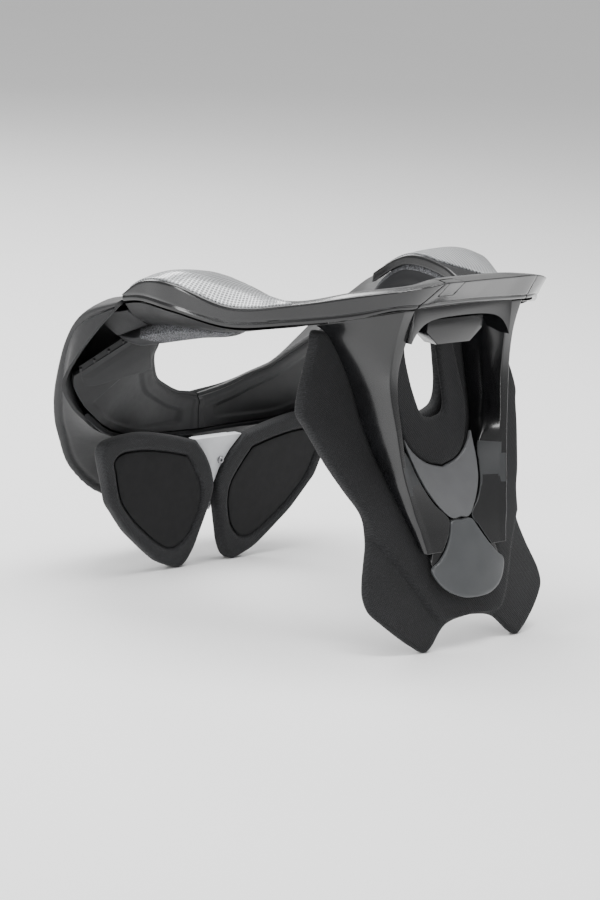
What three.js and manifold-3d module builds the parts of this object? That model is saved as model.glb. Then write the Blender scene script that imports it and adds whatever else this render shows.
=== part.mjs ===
// Motocross neck brace, in millimetres, +Z up, the wearer's front towards -Y and left towards +X.
// Every table holds shares of the named sizes below it: X of a half width, Y of a depth, Z of a height.
import * as THREE from "three";
import { mergeVertices } from "three/addons/utils/BufferGeometryUtils.js";
import Module from "manifold-3d";

const wasm = await Module();
wasm.setup();

// Driving sizes
const RING_HALF_WIDTH = 139;
const RING_DEPTH = 260;
const TOP_HEIGHT = 215;
const CHEST_HALF_WIDTH = 0.6906 * RING_HALF_WIDTH;
const CHEST_DEPTH = 72;
const SHELL_WALL = 2.4;
const STRUT_WALL = 2.6;
const COLLAR_WALL = 3;
const PLATE_WALL = 2.4;
const INLAY_WALL = 0.8;
const PAD_THICKNESS = 8;
const PAD_STEP = 2.4;
const RING_FOAM = 4;
const PADDLE_WIDTH = 105;
const PADDLE_HEIGHT = 0.4186 * TOP_HEIGHT;
const PADDLE_THICKNESS = 9;
const PADDLE_LEAN = 0.07;
const PADDLE_PLACE = 0.7992 * RING_DEPTH;
const PADDLE_EDGE_ROUND = 1.6;
const INSERT_DEPTH = 2.2;
const CLEARANCE = 0.35;

const RING = { x: RING_HALF_WIDTH, y: RING_DEPTH, z: TOP_HEIGHT };
const FRONT = { x: CHEST_HALF_WIDTH, y: CHEST_DEPTH, z: TOP_HEIGHT };

// Sections of the bridge and deck, from the front centre back to the side joint:
// out is the top outer edge, lip the band's low edge, in the neck edge, crown the top's height.
const DECK = rowsOf({
  outX: [0, 0.16, 0.295, 0.432, 0.59, 0.748, 0.885, 0.995, 1, 0.993],
  outY: [0.002, 0.001, 0, 0.031, 0.115, 0.231, 0.346, 0.465, 0.558, 0.623],
  outZ: [1, 1, 1, 0.981, 0.953, 0.913, 0.886, 0.929, 0.922, 0.872],
  lipX: [0, 0.19, 0.353, 0.46, 0.59, 0.745, 0.878, 0.985, 0.993, 0.986],
  lipY: [0.06, 0.058, 0.054, 0.075, 0.127, 0.235, 0.346, 0.465, 0.558, 0.619],
  lipZ: [0.923, 0.922, 0.921, 0.916, 0.889, 0.858, 0.836, 0.86, 0.867, 0.854],
  inX: [0, 0.11, 0.2, 0.324, 0.453, 0.561, 0.626, 0.647, 0.64, 0.615],
  inY: [0.092, 0.092, 0.092, 0.131, 0.208, 0.315, 0.423, 0.519, 0.577, 0.638],
  inZ: [0.991, 0.991, 0.988, 0.958, 0.928, 0.89, 0.925, 0.937, 0.92, 0.865],
  crown: [1, 1, 1, 0.986, 0.96, 0.918, 0.93, 0.955, 0.937, 0.886],
});
const CORNER_ROW = 2;
const JOINT_ROW = 9;
const CORNER_GAP = 0.02;
// The inlay starts in a point at a row: how far across it reaches at its first stations.
const INLAY_STATIONS = [9, 20];
const INLAY_REACH = [0.1, 0.42, 0.7, 0.88];
const INLAY_START = 0.15;
const INLAY_END = 2.8;
const DECK_HEM = 6;
const CROWN_PLACE = 0.3;
const MIDDLE_PLACE = 0.65;

// Sections of an arm below its deck: top under the band, keel the bottom edge, inner the pad's seat.
const ARM = rowsOf({
  topX: [0.655, 0.741, 0.874, 0.98, 0.987, 0.978],
  topY: [0.174, 0.235, 0.346, 0.465, 0.558, 0.617],
  topZ: [0.875, 0.851, 0.83, 0.854, 0.861, 0.848],
  keelX: [0.59, 0.647, 0.741, 0.791, 0.784, 0.759],
  keelY: [0.192, 0.262, 0.385, 0.488, 0.565, 0.64],
  keelZ: [0.862, 0.8475, 0.807, 0.795, 0.788, 0.772],
  innerX: [0.518, 0.604, 0.698, 0.741, 0.734, 0.712],
  innerY: [0.231, 0.285, 0.4, 0.5, 0.569, 0.638],
  innerZ: [0.878, 0.857, 0.865, 0.884, 0.865, 0.819],
});

// Sections of a shoulder pad, inside its arm: neck faces the neck, sole is the lowest edge.
const SHOULDER_PAD = rowsOf({
  neckX: [0.582, 0.607, 0.625, 0.625, 0.61, 0.695],
  neckY: [0.36, 0.423, 0.519, 0.577, 0.632, 0.68],
  neckZ: [0.872, 0.86, 0.865, 0.845, 0.8, 0.735],
  soleX: [0.637, 0.667, 0.697, 0.697, 0.672, 0.745],
  soleY: [0.355, 0.41, 0.51, 0.575, 0.636, 0.68],
  soleZ: [0.862, 0.79, 0.757, 0.745, 0.735, 0.712],
  seatX: [0.662, 0.727, 0.772, 0.769, 0.742, 0.79],
  seatY: [0.36, 0.403, 0.495, 0.568, 0.64, 0.68],
  seatZ: [0.85, 0.8, 0.785, 0.778, 0.758, 0.725],
  headZ: [0.872, 0.895, 0.897, 0.872, 0.815, 0.745],
});

// Sections of the rear body, from the side joint to the rear centre: edge is the neck edge,
// back the upper shoulder, rim the outer low rim, low the inner low edge.
const REAR = rowsOf({
  edgeX: [0.612, 0.597, 0.547, 0.496, 0.432, 0.36, 0.273, 0.144, 0],
  edgeY: [0.648, 0.692, 0.727, 0.765, 0.796, 0.823, 0.846, 0.865, 0.873],
  edgeZ: [0.809, 0.767, 0.693, 0.651, 0.609, 0.567, 0.54, 0.507, 0.488],
  backX: [0.849, 0.835, 0.799, 0.748, 0.683, 0.604, 0.475, 0.259, 0],
  backY: [0.638, 0.731, 0.796, 0.858, 0.896, 0.927, 0.95, 0.969, 0.973],
  backZ: [0.862, 0.837, 0.772, 0.698, 0.623, 0.553, 0.498, 0.456, 0.433],
  rimX: [0.99, 0.942, 0.899, 0.835, 0.777, 0.712, 0.576, 0.338, 0],
  rimY: [0.628, 0.765, 0.842, 0.904, 0.935, 0.95, 0.977, 0.994, 1],
  rimZ: [0.853, 0.791, 0.698, 0.558, 0.46, 0.381, 0.274, 0.177, 0.144],
  lowX: [0.935, 0.915, 0.836, 0.74, 0.662, 0.568, 0.446, 0.237, 0],
  lowY: [0.749, 0.798, 0.807, 0.806, 0.819, 0.835, 0.844, 0.862, 0.865],
  lowZ: [0.698, 0.595, 0.521, 0.47, 0.442, 0.419, 0.4, 0.391, 0.386],
});
const LOW_DROP = 2;
const COLLAR_ROWS = [0.9, 8];
const COLLAR_SEAT = 4.2;
const WINDOW = { from: 1.15, topTo: 3, lowTo: 1.5, top: 0.24, low: 0.9 };

// Block that carries the side joint: sections from the arm's end back into the rear body.
const HINGE_BLOCK = rowsOf({
  topX: [0.949, 0.9047],
  topY: [0.6255, 0.7591],
  topZ: [0.825, 0.7875],
  keelX: [0.78, 0.8327],
  keelY: [0.643, 0.7091],
  keelZ: [0.772, 0.73],
  innerX: [0.72, 0.734],
  innerY: [0.643, 0.704],
  innerZ: [0.8, 0.767],
  backX: [0.849, 0.8257],
  backY: [0.6345, 0.7351],
  backZ: [0.835, 0.8115],
});

// Front face of the chest pad and of the plates on it: depth at the middle, bow at the half width.
const PAD_FACE = [
  { z: 0, y: -0.194, bow: 0.077 },
  { z: 0.075, y: -0.118, bow: 0.09 },
  { z: 0.14, y: -0.055, bow: 0.15 },
  { z: 0.219, y: 0.03, bow: 0.21 },
  { z: 0.307, y: 0.132, bow: 0.22 },
  { z: 0.349, y: 0.192, bow: 0.15 },
  { z: 0.423, y: 0.33, bow: 0.09 },
  { z: 0.498, y: 0.495, bow: 0.03 },
  { z: 0.614, y: 0.62, bow: 0.09 },
  { z: 0.726, y: 0.73, bow: 0.057 },
  { z: 0.84, y: 0.815, bow: 0.013 },
];
const PLATE_FACE = [
  { z: 0.13, y: -0.167, bow: 0.51 },
  { z: 0.219, y: -0.09, bow: 0.576 },
  { z: 0.26, y: -0.035, bow: 0.5 },
  { z: 0.307, y: 0.042, bow: 0.13 },
  { z: 0.335, y: 0.088, bow: 0 },
  { z: 0.377, y: 0.167, bow: -0.384 },
  { z: 0.419, y: 0.243, bow: -0.51 },
  { z: 0.465, y: 0.338, bow: -0.64 },
  { z: 0.502, y: 0.403, bow: -0.576 },
  { z: 0.549, y: 0.479, bow: -0.51 },
];
const FOAM_FACE = [
  { z: 0.46, y: 0.325, bow: 0 },
  { z: 0.544, y: 0.45, bow: 0 },
  { z: 0.623, y: 0.507, bow: 0 },
  { z: 0.688, y: 0.59, bow: 0 },
  { z: 0.753, y: 0.66, bow: 0 },
  { z: 0.8, y: 0.69, bow: 0 },
  { z: 0.86, y: 0.71, bow: 0 },
];

// Half outlines seen from the front, from the middle outwards and back to the middle.
const PAD_OUTLINE = [
  { x: 0, z: 0.077 },
  { x: 0.219, z: 0.062 },
  { x: 0.37, z: 0.012 },
  { x: 0.437, z: 0 },
  { x: 0.52, z: 0.018 },
  { x: 0.61, z: 0.044 },
  { x: 0.71, z: 0.078 },
  { x: 0.795, z: 0.113 },
  { x: 0.81, z: 0.15 },
  { x: 0.788, z: 0.185 },
  { x: 0.74, z: 0.235 },
  { x: 0.695, z: 0.295 },
  { x: 0.705, z: 0.36 },
  { x: 0.79, z: 0.423 },
  { x: 0.88, z: 0.498 },
  { x: 0.96, z: 0.582 },
  { x: 0.998, z: 0.62 },
  { x: 0.968, z: 0.672 },
  { x: 0.91, z: 0.73 },
  { x: 0.86, z: 0.79 },
  { x: 0.83, z: 0.832 },
  { x: 0.75, z: 0.832 },
  { x: 0.5, z: 0.82 },
  { x: 0.3, z: 0.818 },
  { x: 0.235, z: 0.81 },
  { x: 0.235, z: 0.74 },
  { x: 0.21, z: 0.66 },
  { x: 0.14, z: 0.612 },
  { x: 0, z: 0.592 },
];
const RAISED_OUTLINE = [
  { x: 0, z: 0.08 },
  { x: 0.25, z: 0.08 },
  { x: 0.33, z: 0.1 },
  { x: 0.4, z: 0.143 },
  { x: 0.52, z: 0.225 },
  { x: 0.66, z: 0.3 },
  { x: 0.8, z: 0.36 },
  { x: 1.2, z: 0.5 },
  { x: 1.2, z: 0.9 },
  { x: 0, z: 0.9 },
];
const FOAM_OUTLINE = [
  { x: 0, z: 0.466 },
  { x: 0.13, z: 0.479 },
  { x: 0.226, z: 0.503 },
  { x: 0.29, z: 0.54 },
  { x: 0.32, z: 0.6 },
  { x: 0.322, z: 0.69 },
  { x: 0.31, z: 0.76 },
  { x: 0.29, z: 0.82 },
  { x: 0.25, z: 0.845 },
  { x: 0, z: 0.855 },
];
const FOAM_HOLE = [
  { x: 0, z: 0.589 },
  { x: 0.09, z: 0.6 },
  { x: 0.13, z: 0.64 },
  { x: 0.148, z: 0.73 },
  { x: 0.14, z: 0.79 },
  { x: 0.08, z: 0.812 },
  { x: 0, z: 0.815 },
];
const CRESCENT_OUTLINE = [
  { x: 0, z: 0.34 },
  { x: 0.086, z: 0.34 },
  { x: 0.178, z: 0.377 },
  { x: 0.243, z: 0.419 },
  { x: 0.279, z: 0.46 },
  { x: 0.301, z: 0.502 },
  { x: 0.312, z: 0.545 },
  { x: 0.277, z: 0.522 },
  { x: 0.219, z: 0.497 },
  { x: 0.125, z: 0.475 },
  { x: 0, z: 0.462 },
];
const SHIELD_OUTLINE = [
  { x: 0, z: 0.134 },
  { x: 0.12, z: 0.138 },
  { x: 0.24, z: 0.158 },
  { x: 0.31, z: 0.188 },
  { x: 0.332, z: 0.217 },
  { x: 0.27, z: 0.236 },
  { x: 0.212, z: 0.259 },
  { x: 0.165, z: 0.284 },
  { x: 0.126, z: 0.31 },
  { x: 0.09, z: 0.332 },
  { x: 0, z: 0.332 },
];

// Web behind the crescent and the shield, reaching into the legs.
const WEB_OUTLINE = [
  { x: 0, z: 0.15 },
  { x: 0.15, z: 0.155 },
  { x: 0.26, z: 0.185 },
  { x: 0.31, z: 0.225 },
  { x: 0.3, z: 0.25 },
  { x: 0.25, z: 0.3 },
  { x: 0.2, z: 0.345 },
  { x: 0.25, z: 0.39 },
  { x: 0.29, z: 0.43 },
  { x: 0.31, z: 0.48 },
  { x: 0.2, z: 0.465 },
  { x: 0, z: 0.445 },
];

// Sections of a strut leg at height z: out and in bound the front bevel, ridge is the inner front
// edge, wall the rear of the inner wall and rear the rear edge of the outer flank.
const LEG = rowsOf({
  z: [0.9125, 0.833, 0.753, 0.679, 0.581, 0.502, 0.46, 0.419, 0.377, 0.34, 0.31, 0.284, 0.259],
  outX: [0.548, 0.55, 0.555, 0.551, 0.517, 0.494, 0.479, 0.46, 0.436, 0.417, 0.396, 0.381, 0.367],
  outY: [0.268, 0.326, 0.344, 0.328, 0.268, 0.219, 0.188, 0.15, 0.114, 0.076, 0.05, 0.025, 0],
  inX: [0.446, 0.457, 0.481, 0.482, 0.462, 0.443, 0.427, 0.404, 0.38, 0.354, 0.337, 0.325, 0.318],
  inY: [0.269, 0.312, 0.342, 0.332, 0.278, 0.236, 0.208, 0.171, 0.128, 0.09, 0.058, 0.031, 0.006],
  ridgeX: [0.43, 0.441, 0.465, 0.466, 0.446, 0.322, 0.296, 0.26, 0.196, 0.105, 0.138, 0.178, 0.226],
  ridgeY: [0.435, 0.486, 0.488, 0.464, 0.421, 0.351, 0.282, 0.215, 0.158, 0.106, 0.05, 0.021, 0],
  wallX: [0.412, 0.428, 0.44, 0.44, 0.42, 0.35, 0.318, 0.285, 0.222, 0.13, 0.16, 0.2, 0.244],
  rearX: [0.87, 0.771, 0.667, 0.604, 0.562, 0.521, 0.5, 0.484, 0.458, 0.432, 0.406, 0.385, 0.368],
  rearZ: [0.853, 0.825, 0.753, 0.679, 0.581, 0.502, 0.46, 0.419, 0.377, 0.34, 0.31, 0.284, 0.259],
  depth: [0.36, 0.36, 0.36, 0.36, 0.36, 0.06, 0.06, 0.06, 0.06, 0.06, 0.06, 0.06, 0.05],
});
const STRUT_SEAT = 1.3;
const STRUT_FOOT = { halfWidth: 0.33, top: 0.48, bottom: 0.15 };
const ARCH = { top: 0.9195, front: 0.27, back: 0.5 };
// Lower edge of the arch between the legs, from the middle outwards.
const ARCH_EDGE = [
  { x: 0, z: 0.887 },
  { x: 0.15, z: 0.886 },
  { x: 0.27, z: 0.879 },
  { x: 0.34, z: 0.864 },
  { x: 0.39, z: 0.84 },
  { x: 0.425, z: 0.8 },
  { x: 0.455, z: 0.8 },
];
const BRACKET = { topHalf: 0.26, lowHalf: 0.15, top: 0.877, low: 0.805, front: 0.34, back: 0.5 };

// Half outline of a paddle and its insert, X from the middle plane, as shares of a paddle's size.
const PADDLE_OUTLINE = [
  { x: 0.21, z: 0.905 },
  { x: 0.121, z: 0.8 },
  { x: 0.052, z: 0.678 },
  { x: 0.016, z: 0.562 },
  { x: 0.028, z: 0.456 },
  { x: 0.057, z: 0.344 },
  { x: 0.086, z: 0.244 },
  { x: 0.119, z: 0.133 },
  { x: 0.167, z: 0.04 },
  { x: 0.22, z: 0 },
  { x: 0.28, z: 0.01 },
  { x: 0.396, z: 0.06 },
  { x: 0.493, z: 0.133 },
  { x: 0.588, z: 0.216 },
  { x: 0.681, z: 0.3 },
  { x: 0.747, z: 0.378 },
  { x: 0.808, z: 0.456 },
  { x: 0.863, z: 0.529 },
  { x: 0.895, z: 0.619 },
  { x: 0.924, z: 0.707 },
  { x: 0.955, z: 0.79 },
  { x: 0.985, z: 0.9 },
  { x: 0.94, z: 0.975 },
  { x: 0.743, z: 1.006 },
  { x: 0.6, z: 1 },
  { x: 0.39, z: 0.956 },
];
const INSERT_OUTLINE = [
  { x: 0.276, z: 0.8 },
  { x: 0.2, z: 0.689 },
  { x: 0.133, z: 0.567 },
  { x: 0.124, z: 0.456 },
  { x: 0.143, z: 0.356 },
  { x: 0.18, z: 0.256 },
  { x: 0.257, z: 0.172 },
  { x: 0.343, z: 0.161 },
  { x: 0.438, z: 0.211 },
  { x: 0.543, z: 0.294 },
  { x: 0.638, z: 0.378 },
  { x: 0.724, z: 0.472 },
  { x: 0.781, z: 0.556 },
  { x: 0.819, z: 0.656 },
  { x: 0.848, z: 0.756 },
  { x: 0.867, z: 0.833 },
  { x: 0.8, z: 0.878 },
  { x: 0.629, z: 0.878 },
  { x: 0.438, z: 0.844 },
];
const STRUT_GAP = 1.3;
const STRUT_SETBACK = 4;
const REAR_PLATE = { top: 0.9, low: 0.36, halfWidth: 16, wall: 4, tongue: 0.82 };
const SCREW = { radius: 2.2, height: 1.2, x: 3.6, z: 0.733 * PADDLE_HEIGHT };

// Catch in the bridge's front band, and the room behind it.
const CATCH = { from: -0.248, to: -0.155, low: 0.958, top: 1.02, depth: 0.03 };
const CATCH_TRAVEL = 1.6;

const MATERIALS = {
  gloss: { color: 0x15151a, roughness: 0.22, metalness: 0 },
  satin: { color: 0x2a2a2e, roughness: 0.5, metalness: 0 },
  silver: { color: 0xb9bbbe, roughness: 0.45, metalness: 0.4 },
  foam: { color: 0x1f1f22, roughness: 0.9, metalness: 0 },
  smooth: { color: 0x101014, roughness: 0.7, metalness: 0 },
  light: { color: 0x8a8c90, roughness: 0.45, metalness: 0 },
  grey: { color: 0x606367, roughness: 0.4, metalness: 0 },
  white: { color: 0xdcdcda, roughness: 0.5, metalness: 0 },
  steel: { color: 0x77787a, roughness: 0.35, metalness: 1 },
};

const part = new THREE.Group();

function mix(a, b, share) {
  return a.map((value, i) => value + (b[i] - value) * share);
}

// Smooth curve through a table's rows, in every column, at a place counted in rows.
function rowAt(rows, place) {
  const index = Math.min(Math.max(Math.floor(place), 0), rows.length - 2);
  const t = place - index;
  const [a, b, c, d] = [-1, 0, 1, 2].map((k) => rows[Math.min(Math.max(index + k, 0), rows.length - 1)]);
  const result = {};
  for (const key of Object.keys(b)) {
    const bend = 2 * a[key] - 5 * b[key] + 4 * c[key] - d[key];
    const twist = 3 * b[key] - a[key] - 3 * c[key] + d[key];
    result[key] = b[key] + (t * (c[key] - a[key]) + t * t * bend + t * t * t * twist) / 2;
  }
  return result;
}

// Rows of a table that is written down by its columns.
function rowsOf(columns) {
  const names = Object.keys(columns);
  const count = columns[names[0]].length;
  const row = (i) => Object.fromEntries(names.map((name) => [name, columns[name][i]]));
  return Array.from({ length: count }, (_, i) => row(i));
}

function rowsBetween(rows, from, to, steps) {
  const count = Math.max(1, Math.round((to - from) * steps));
  return Array.from({ length: count + 1 }, (_, i) => rowAt(rows, from + ((to - from) * i) / count));
}

// The whole way across the middle plane: the right half reversed with X turned over, then the left.
function bothSides(rows) {
  const right = rows.slice(1).reverse().map((row) => {
    const turned = { ...row };
    for (const key of Object.keys(row).filter((name) => name.endsWith("X"))) {
      turned[key] = -row[key];
    }
    return turned;
  });
  return [...right, ...rows];
}

function point(row, name, size) {
  return [row[name + "X"] * size.x, row[name + "Y"] * size.y, row[name + "Z"] * size.z];
}

// Depth of a face at a place seen from the front, straight between its rows.
function faceDepth(face, x, z) {
  const height = Math.min(Math.max(z / TOP_HEIGHT, face[0].z), face[face.length - 1].z);
  const next = Math.max(1, face.findIndex((row) => row.z >= height));
  const a = face[next - 1];
  const b = face[next];
  const t = (height - a.z) / (b.z - a.z);
  const side = x / CHEST_HALF_WIDTH;
  return CHEST_DEPTH * (a.y + (b.y - a.y) * t + (a.bow + (b.bow - a.bow) * t) * side * side);
}

const padFront = (x, z) => faceDepth(PAD_FACE, x, z);
const plateFront = (x, z) => faceDepth(PLATE_FACE, x, z);
const foamFront = (x, z) => faceDepth(FOAM_FACE, x, z);

// One closed surface, with its triangles turned outwards.
function closed(points, triangles) {
  let volume = 0;
  for (const [a, b, c] of triangles) {
    const [p, q, r] = [points[a], points[b], points[c]].map((v) => new THREE.Vector3(...v));
    volume += p.dot(q.cross(r));
  }
  const turned = volume < 0 ? triangles.map(([a, b, c]) => [a, c, b]) : triangles;
  const geometry = new THREE.BufferGeometry();
  geometry.setAttribute("position", new THREE.Float32BufferAttribute(points.flat(), 3));
  geometry.setIndex(turned.flat());
  return geometry;
}

// Skin over sections of equal length, whose second half runs back beside the first.
function loft(sections) {
  const size = sections[0].length;
  const triangles = [];
  for (let s = 0; s < sections.length - 1; s++) {
    for (let i = 0; i < size; i++) {
      const j = (i + 1) % size;
      const [a, b, c, d] = [s * size + i, s * size + j, (s + 1) * size + j, (s + 1) * size + i];
      triangles.push([a, b, c], [a, c, d]);
    }
  }
  const last = (sections.length - 1) * size;
  for (let i = 0; i < size / 2 - 1; i++) {
    const [a, b, c, d] = [i, i + 1, size - 2 - i, size - 1 - i];
    triangles.push([a, c, b], [a, d, c]);
    triangles.push([last + a, last + b, last + c], [last + a, last + c, last + d]);
  }
  return closed(sections.flat(), triangles);
}

// A wall on the right hand of a chain, measured in a plane: across gives the plane's first
// coordinate of a point, along turns a plane step back into space.
function wallSection(chain, wall, across, up, along) {
  const flat = chain.map((p) => [across(p), up(p)]);
  const inside = chain.map((p, i) => {
    const normals = [];
    for (const k of [i - 1, i]) {
      if (k >= 0 && k < chain.length - 1) {
        const step = [flat[k + 1][0] - flat[k][0], flat[k + 1][1] - flat[k][1]];
        const length = Math.hypot(...step);
        normals.push([step[1] / length, -step[0] / length]);
      }
    }
    const [n, m] = [normals[0], normals[normals.length - 1]];
    const spread = Math.max(0.6, 1 + n[0] * m[0] + n[1] * m[1]);
    return along(p, (wall * (n[0] + m[0])) / spread, (wall * (n[1] + m[1])) / spread);
  });
  return [...chain, ...inside.reverse()];
}

// A wall section that stands upright on the way from one point to another seen from above.
function uprightWall(chain, wall, from, to) {
  const way = [to[0] - from[0], to[1] - from[1]];
  const length = Math.hypot(...way);
  const [dx, dy] = [way[0] / length, way[1] / length];
  return wallSection(
    chain,
    wall,
    (p) => p[0] * dx + p[1] * dy,
    (p) => p[2],
    (p, a, b) => [p[0] + a * dx, p[1] + a * dy, p[2] + b],
  );
}

function mirrored(geometry) {
  const copy = geometry.clone();
  copy.scale(-1, 1, 1);
  const index = copy.getIndex();
  const turned = [];
  for (let i = 0; i < index.count; i += 3) {
    turned.push(index.getX(i), index.getX(i + 2), index.getX(i + 1));
  }
  copy.setIndex(turned);
  return copy;
}

function solid(geometry) {
  const bare = geometry.clone();
  bare.deleteAttribute("normal");
  bare.deleteAttribute("uv");
  const merged = mergeVertices(bare, 1e-4);
  return new wasm.Manifold(new wasm.Mesh({
    numProp: 3,
    vertProperties: new Float32Array(merged.getAttribute("position").array),
    triVerts: new Uint32Array(merged.getIndex().array),
  }));
}

function surface(manifold) {
  const mesh = manifold.getMesh();
  const geometry = new THREE.BufferGeometry();
  geometry.setAttribute("position", new THREE.Float32BufferAttribute(mesh.vertProperties, 3));
  geometry.setIndex(Array.from(mesh.triVerts));
  return geometry;
}

// A curved slab over a rectangle seen from the front, between two depths.
function slab(halfWidth, low, high, columns, rows, front, back) {
  const points = [];
  for (const depth of [front, back]) {
    for (let r = 0; r <= rows; r++) {
      for (let c = 0; c <= columns; c++) {
        const x = halfWidth * ((2 * c) / columns - 1);
        const z = low + ((high - low) * r) / rows;
        points.push([x, depth(x, z), z]);
      }
    }
  }
  const layer = (rows + 1) * (columns + 1);
  const at = (side, r, c) => side * layer + r * (columns + 1) + c;
  const triangles = [];
  const quad = (a, b, c, d) => triangles.push([a, b, c], [a, c, d]);
  for (let r = 0; r < rows; r++) {
    for (let c = 0; c < columns; c++) {
      quad(at(0, r, c), at(0, r, c + 1), at(0, r + 1, c + 1), at(0, r + 1, c));
      quad(at(1, r, c), at(1, r + 1, c), at(1, r + 1, c + 1), at(1, r, c + 1));
    }
    quad(at(0, r, 0), at(0, r + 1, 0), at(1, r + 1, 0), at(1, r, 0));
    quad(at(0, r, columns), at(1, r, columns), at(1, r + 1, columns), at(0, r + 1, columns));
  }
  for (let c = 0; c < columns; c++) {
    quad(at(0, 0, c), at(1, 0, c), at(1, 0, c + 1), at(0, 0, c + 1));
    quad(at(0, rows, c), at(0, rows, c + 1), at(1, rows, c + 1), at(1, rows, c));
  }
  return closed(points, triangles);
}

// A straight prism along Y over an outline of [x, z] points.
function prism(outline, from, to) {
  const shape = new THREE.Shape(outline.map(([x, z]) => new THREE.Vector2(x, z)));
  const extruded = new THREE.ExtrudeGeometry(shape, { depth: to - from, bevelEnabled: false });
  const bare = mergeVertices(stripped(extruded), 1e-4);
  const place = bare.getAttribute("position");
  const standing = (i) => [place.getX(i), from + place.getZ(i), place.getY(i)];
  const points = Array.from({ length: place.count }, (_, i) => standing(i));
  const index = Array.from(bare.getIndex().array);
  const triangles = Array.from({ length: index.length / 3 }, (_, i) => index.slice(3 * i, 3 * i + 3));
  return closed(points, triangles);
}

function stripped(geometry) {
  geometry.deleteAttribute("normal");
  geometry.deleteAttribute("uv");
  return geometry;
}

// A whole outline from a half one that starts and ends on the middle plane.
function wholeOutline(rows, steps, grow = 0) {
  const half = rowsBetween(rows, 0, rows.length - 1, steps);
  const left = half.map((row) => [Math.max(0, row.x) * FRONT.x, row.z * FRONT.z]);
  const right = left.slice(1, -1).reverse().map(([x, z]) => [-x, z]);
  return grown([...left, ...right], grow);
}

// An outline moved outwards by a distance, or inwards where the distance is negative.
function grown(outline, distance) {
  if (distance === 0) {
    return outline;
  }
  const count = outline.length;
  const area = outline.reduce((sum, [x, z], i) => {
    const [nextX, nextZ] = outline[(i + 1) % count];
    return sum + x * nextZ - nextX * z;
  }, 0);
  const turn = Math.sign(area) * distance;
  return outline.map(([x, z], i) => {
    const before = outline[(i + count - 1) % count];
    const after = outline[(i + 1) % count];
    const [dx, dz] = [after[0] - before[0], after[1] - before[1]];
    const length = Math.hypot(dx, dz);
    return [x + (turn * dz) / length, z - (turn * dx) / length];
  });
}

function plate(outline, columns, rows, front, thickness) {
  const heights = outline.map(([, z]) => z);
  const widths = outline.map(([x]) => Math.abs(x));
  const margin = 1;
  const sheet = slab(
    Math.max(...widths) + margin,
    Math.min(...heights) - margin,
    Math.max(...heights) + margin,
    columns,
    rows,
    front,
    (x, z) => front(x, z) + thickness,
  );
  return solid(sheet).intersect(solid(prism(outline, -CHEST_DEPTH, 2 * CHEST_DEPTH)));
}

function add(name, geometry, material) {
  const mesh = new THREE.Mesh(geometry, new THREE.MeshStandardMaterial(MATERIALS[material]));
  geometry.computeVertexNormals();
  mesh.name = name;
  part.add(mesh);
}

function addPair(name, geometry, material) {
  add(name + "_left", geometry, material);
  add(name + "_right", mirrored(geometry), material);
}

// Bridge and decks
function deckTop(row) {
  const out = point(row, "out", RING);
  const inner = point(row, "in", RING);
  const crown = mix(out, inner, CROWN_PLACE);
  crown[2] = row.crown * TOP_HEIGHT;
  const middle = mix(out, inner, MIDDLE_PLACE);
  middle[2] = (2 * crown[2] + 3 * inner[2]) / 5 + 1;
  return [out, crown, middle, inner];
}

function deckSection(row) {
  const top = deckTop(row);
  const inner = top[3];
  const chain = [point(row, "lip", RING), ...top, [inner[0], inner[1], inner[2] - DECK_HEM]];
  return uprightWall(chain, SHELL_WALL, top[0], inner);
}

const deckRows = rowsBetween(DECK, CORNER_ROW + CORNER_GAP, JOINT_ROW, 3);

function deck() {
  return loft(deckRows.map(deckSection));
}

function deckInlay() {
  const rise = 4.5 * CLEARANCE;
  return loft(deckRows.slice(...INLAY_STATIONS).map((row, station) => {
    const corners = deckTop(row);
    const reach = INLAY_REACH[station] ?? 1;
    const chain = [INLAY_START, 1, 2, INLAY_END].map((across) => {
      const place = INLAY_START + (across - INLAY_START) * reach;
      const corner = Math.floor(place);
      return mix(corners[corner], corners[corner + 1], place - corner);
    });
    const top = chain.map(([x, y, z]) => [x, y, z + rise + INLAY_WALL]);
    const under = chain.map(([x, y, z]) => [x, y, z + rise]);
    return [...top, ...under.reverse()];
  }));
}

function bridgeSolid() {
  const end = CORNER_ROW - CORNER_GAP;
  return solid(loft(bothSides(rowsBetween(DECK, 0, end, 3)).map(deckSection)));
}

// The catch is the bridge's own skin between two places, with a lower edge, set off by a gap.
function catchSpace(gap, travel) {
  const outline = [
    [CATCH.from * RING.x - gap, CATCH.low * RING.z - gap],
    [CATCH.to * RING.x + gap, CATCH.low * RING.z - gap],
    [CATCH.to * RING.x + gap, CATCH.top * RING.z],
    [CATCH.from * RING.x - gap, CATCH.top * RING.z],
  ];
  return solid(prism(outline, -CATCH.depth * RING.y, CATCH.depth * RING.y + gap + travel));
}

// Arms and shoulder pads
function armSection(row) {
  const top = point(row, "top", RING);
  const keel = point(row, "keel", RING);
  const inner = point(row, "inner", RING);
  const flank = mix(top, keel, 0.5);
  flank[0] += (top[0] - keel[0]) * 0.12;
  flank[2] -= (top[2] - keel[2]) * 0.1;
  const sole = mix(keel, inner, 0.5);
  const shelf = mix(top, inner, 0.5);
  shelf[2] = Math.min(top[2], inner[2]) - 0.5;
  return [top, flank, keel, sole, inner, shelf];
}

function arm() {
  return loft(rowsBetween(ARM, 0, ARM.length - 1, 3).map(armSection));
}

function shoulderPadSection(row) {
  const neck = point(row, "neck", RING);
  const sole = point(row, "sole", RING);
  const seat = point(row, "seat", RING);
  const head = [neck[0] + 5, neck[1], row.headZ * RING.z - 1];
  const back = mix(head, seat, 0.5);
  const cheek = mix(neck, sole, 0.5);
  cheek[2] -= 1;
  return [head, neck, cheek, sole, seat, back];
}

function shoulderPad() {
  return loft(rowsBetween(SHOULDER_PAD, 0, SHOULDER_PAD.length - 1, 3).map(shoulderPadSection));
}

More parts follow.
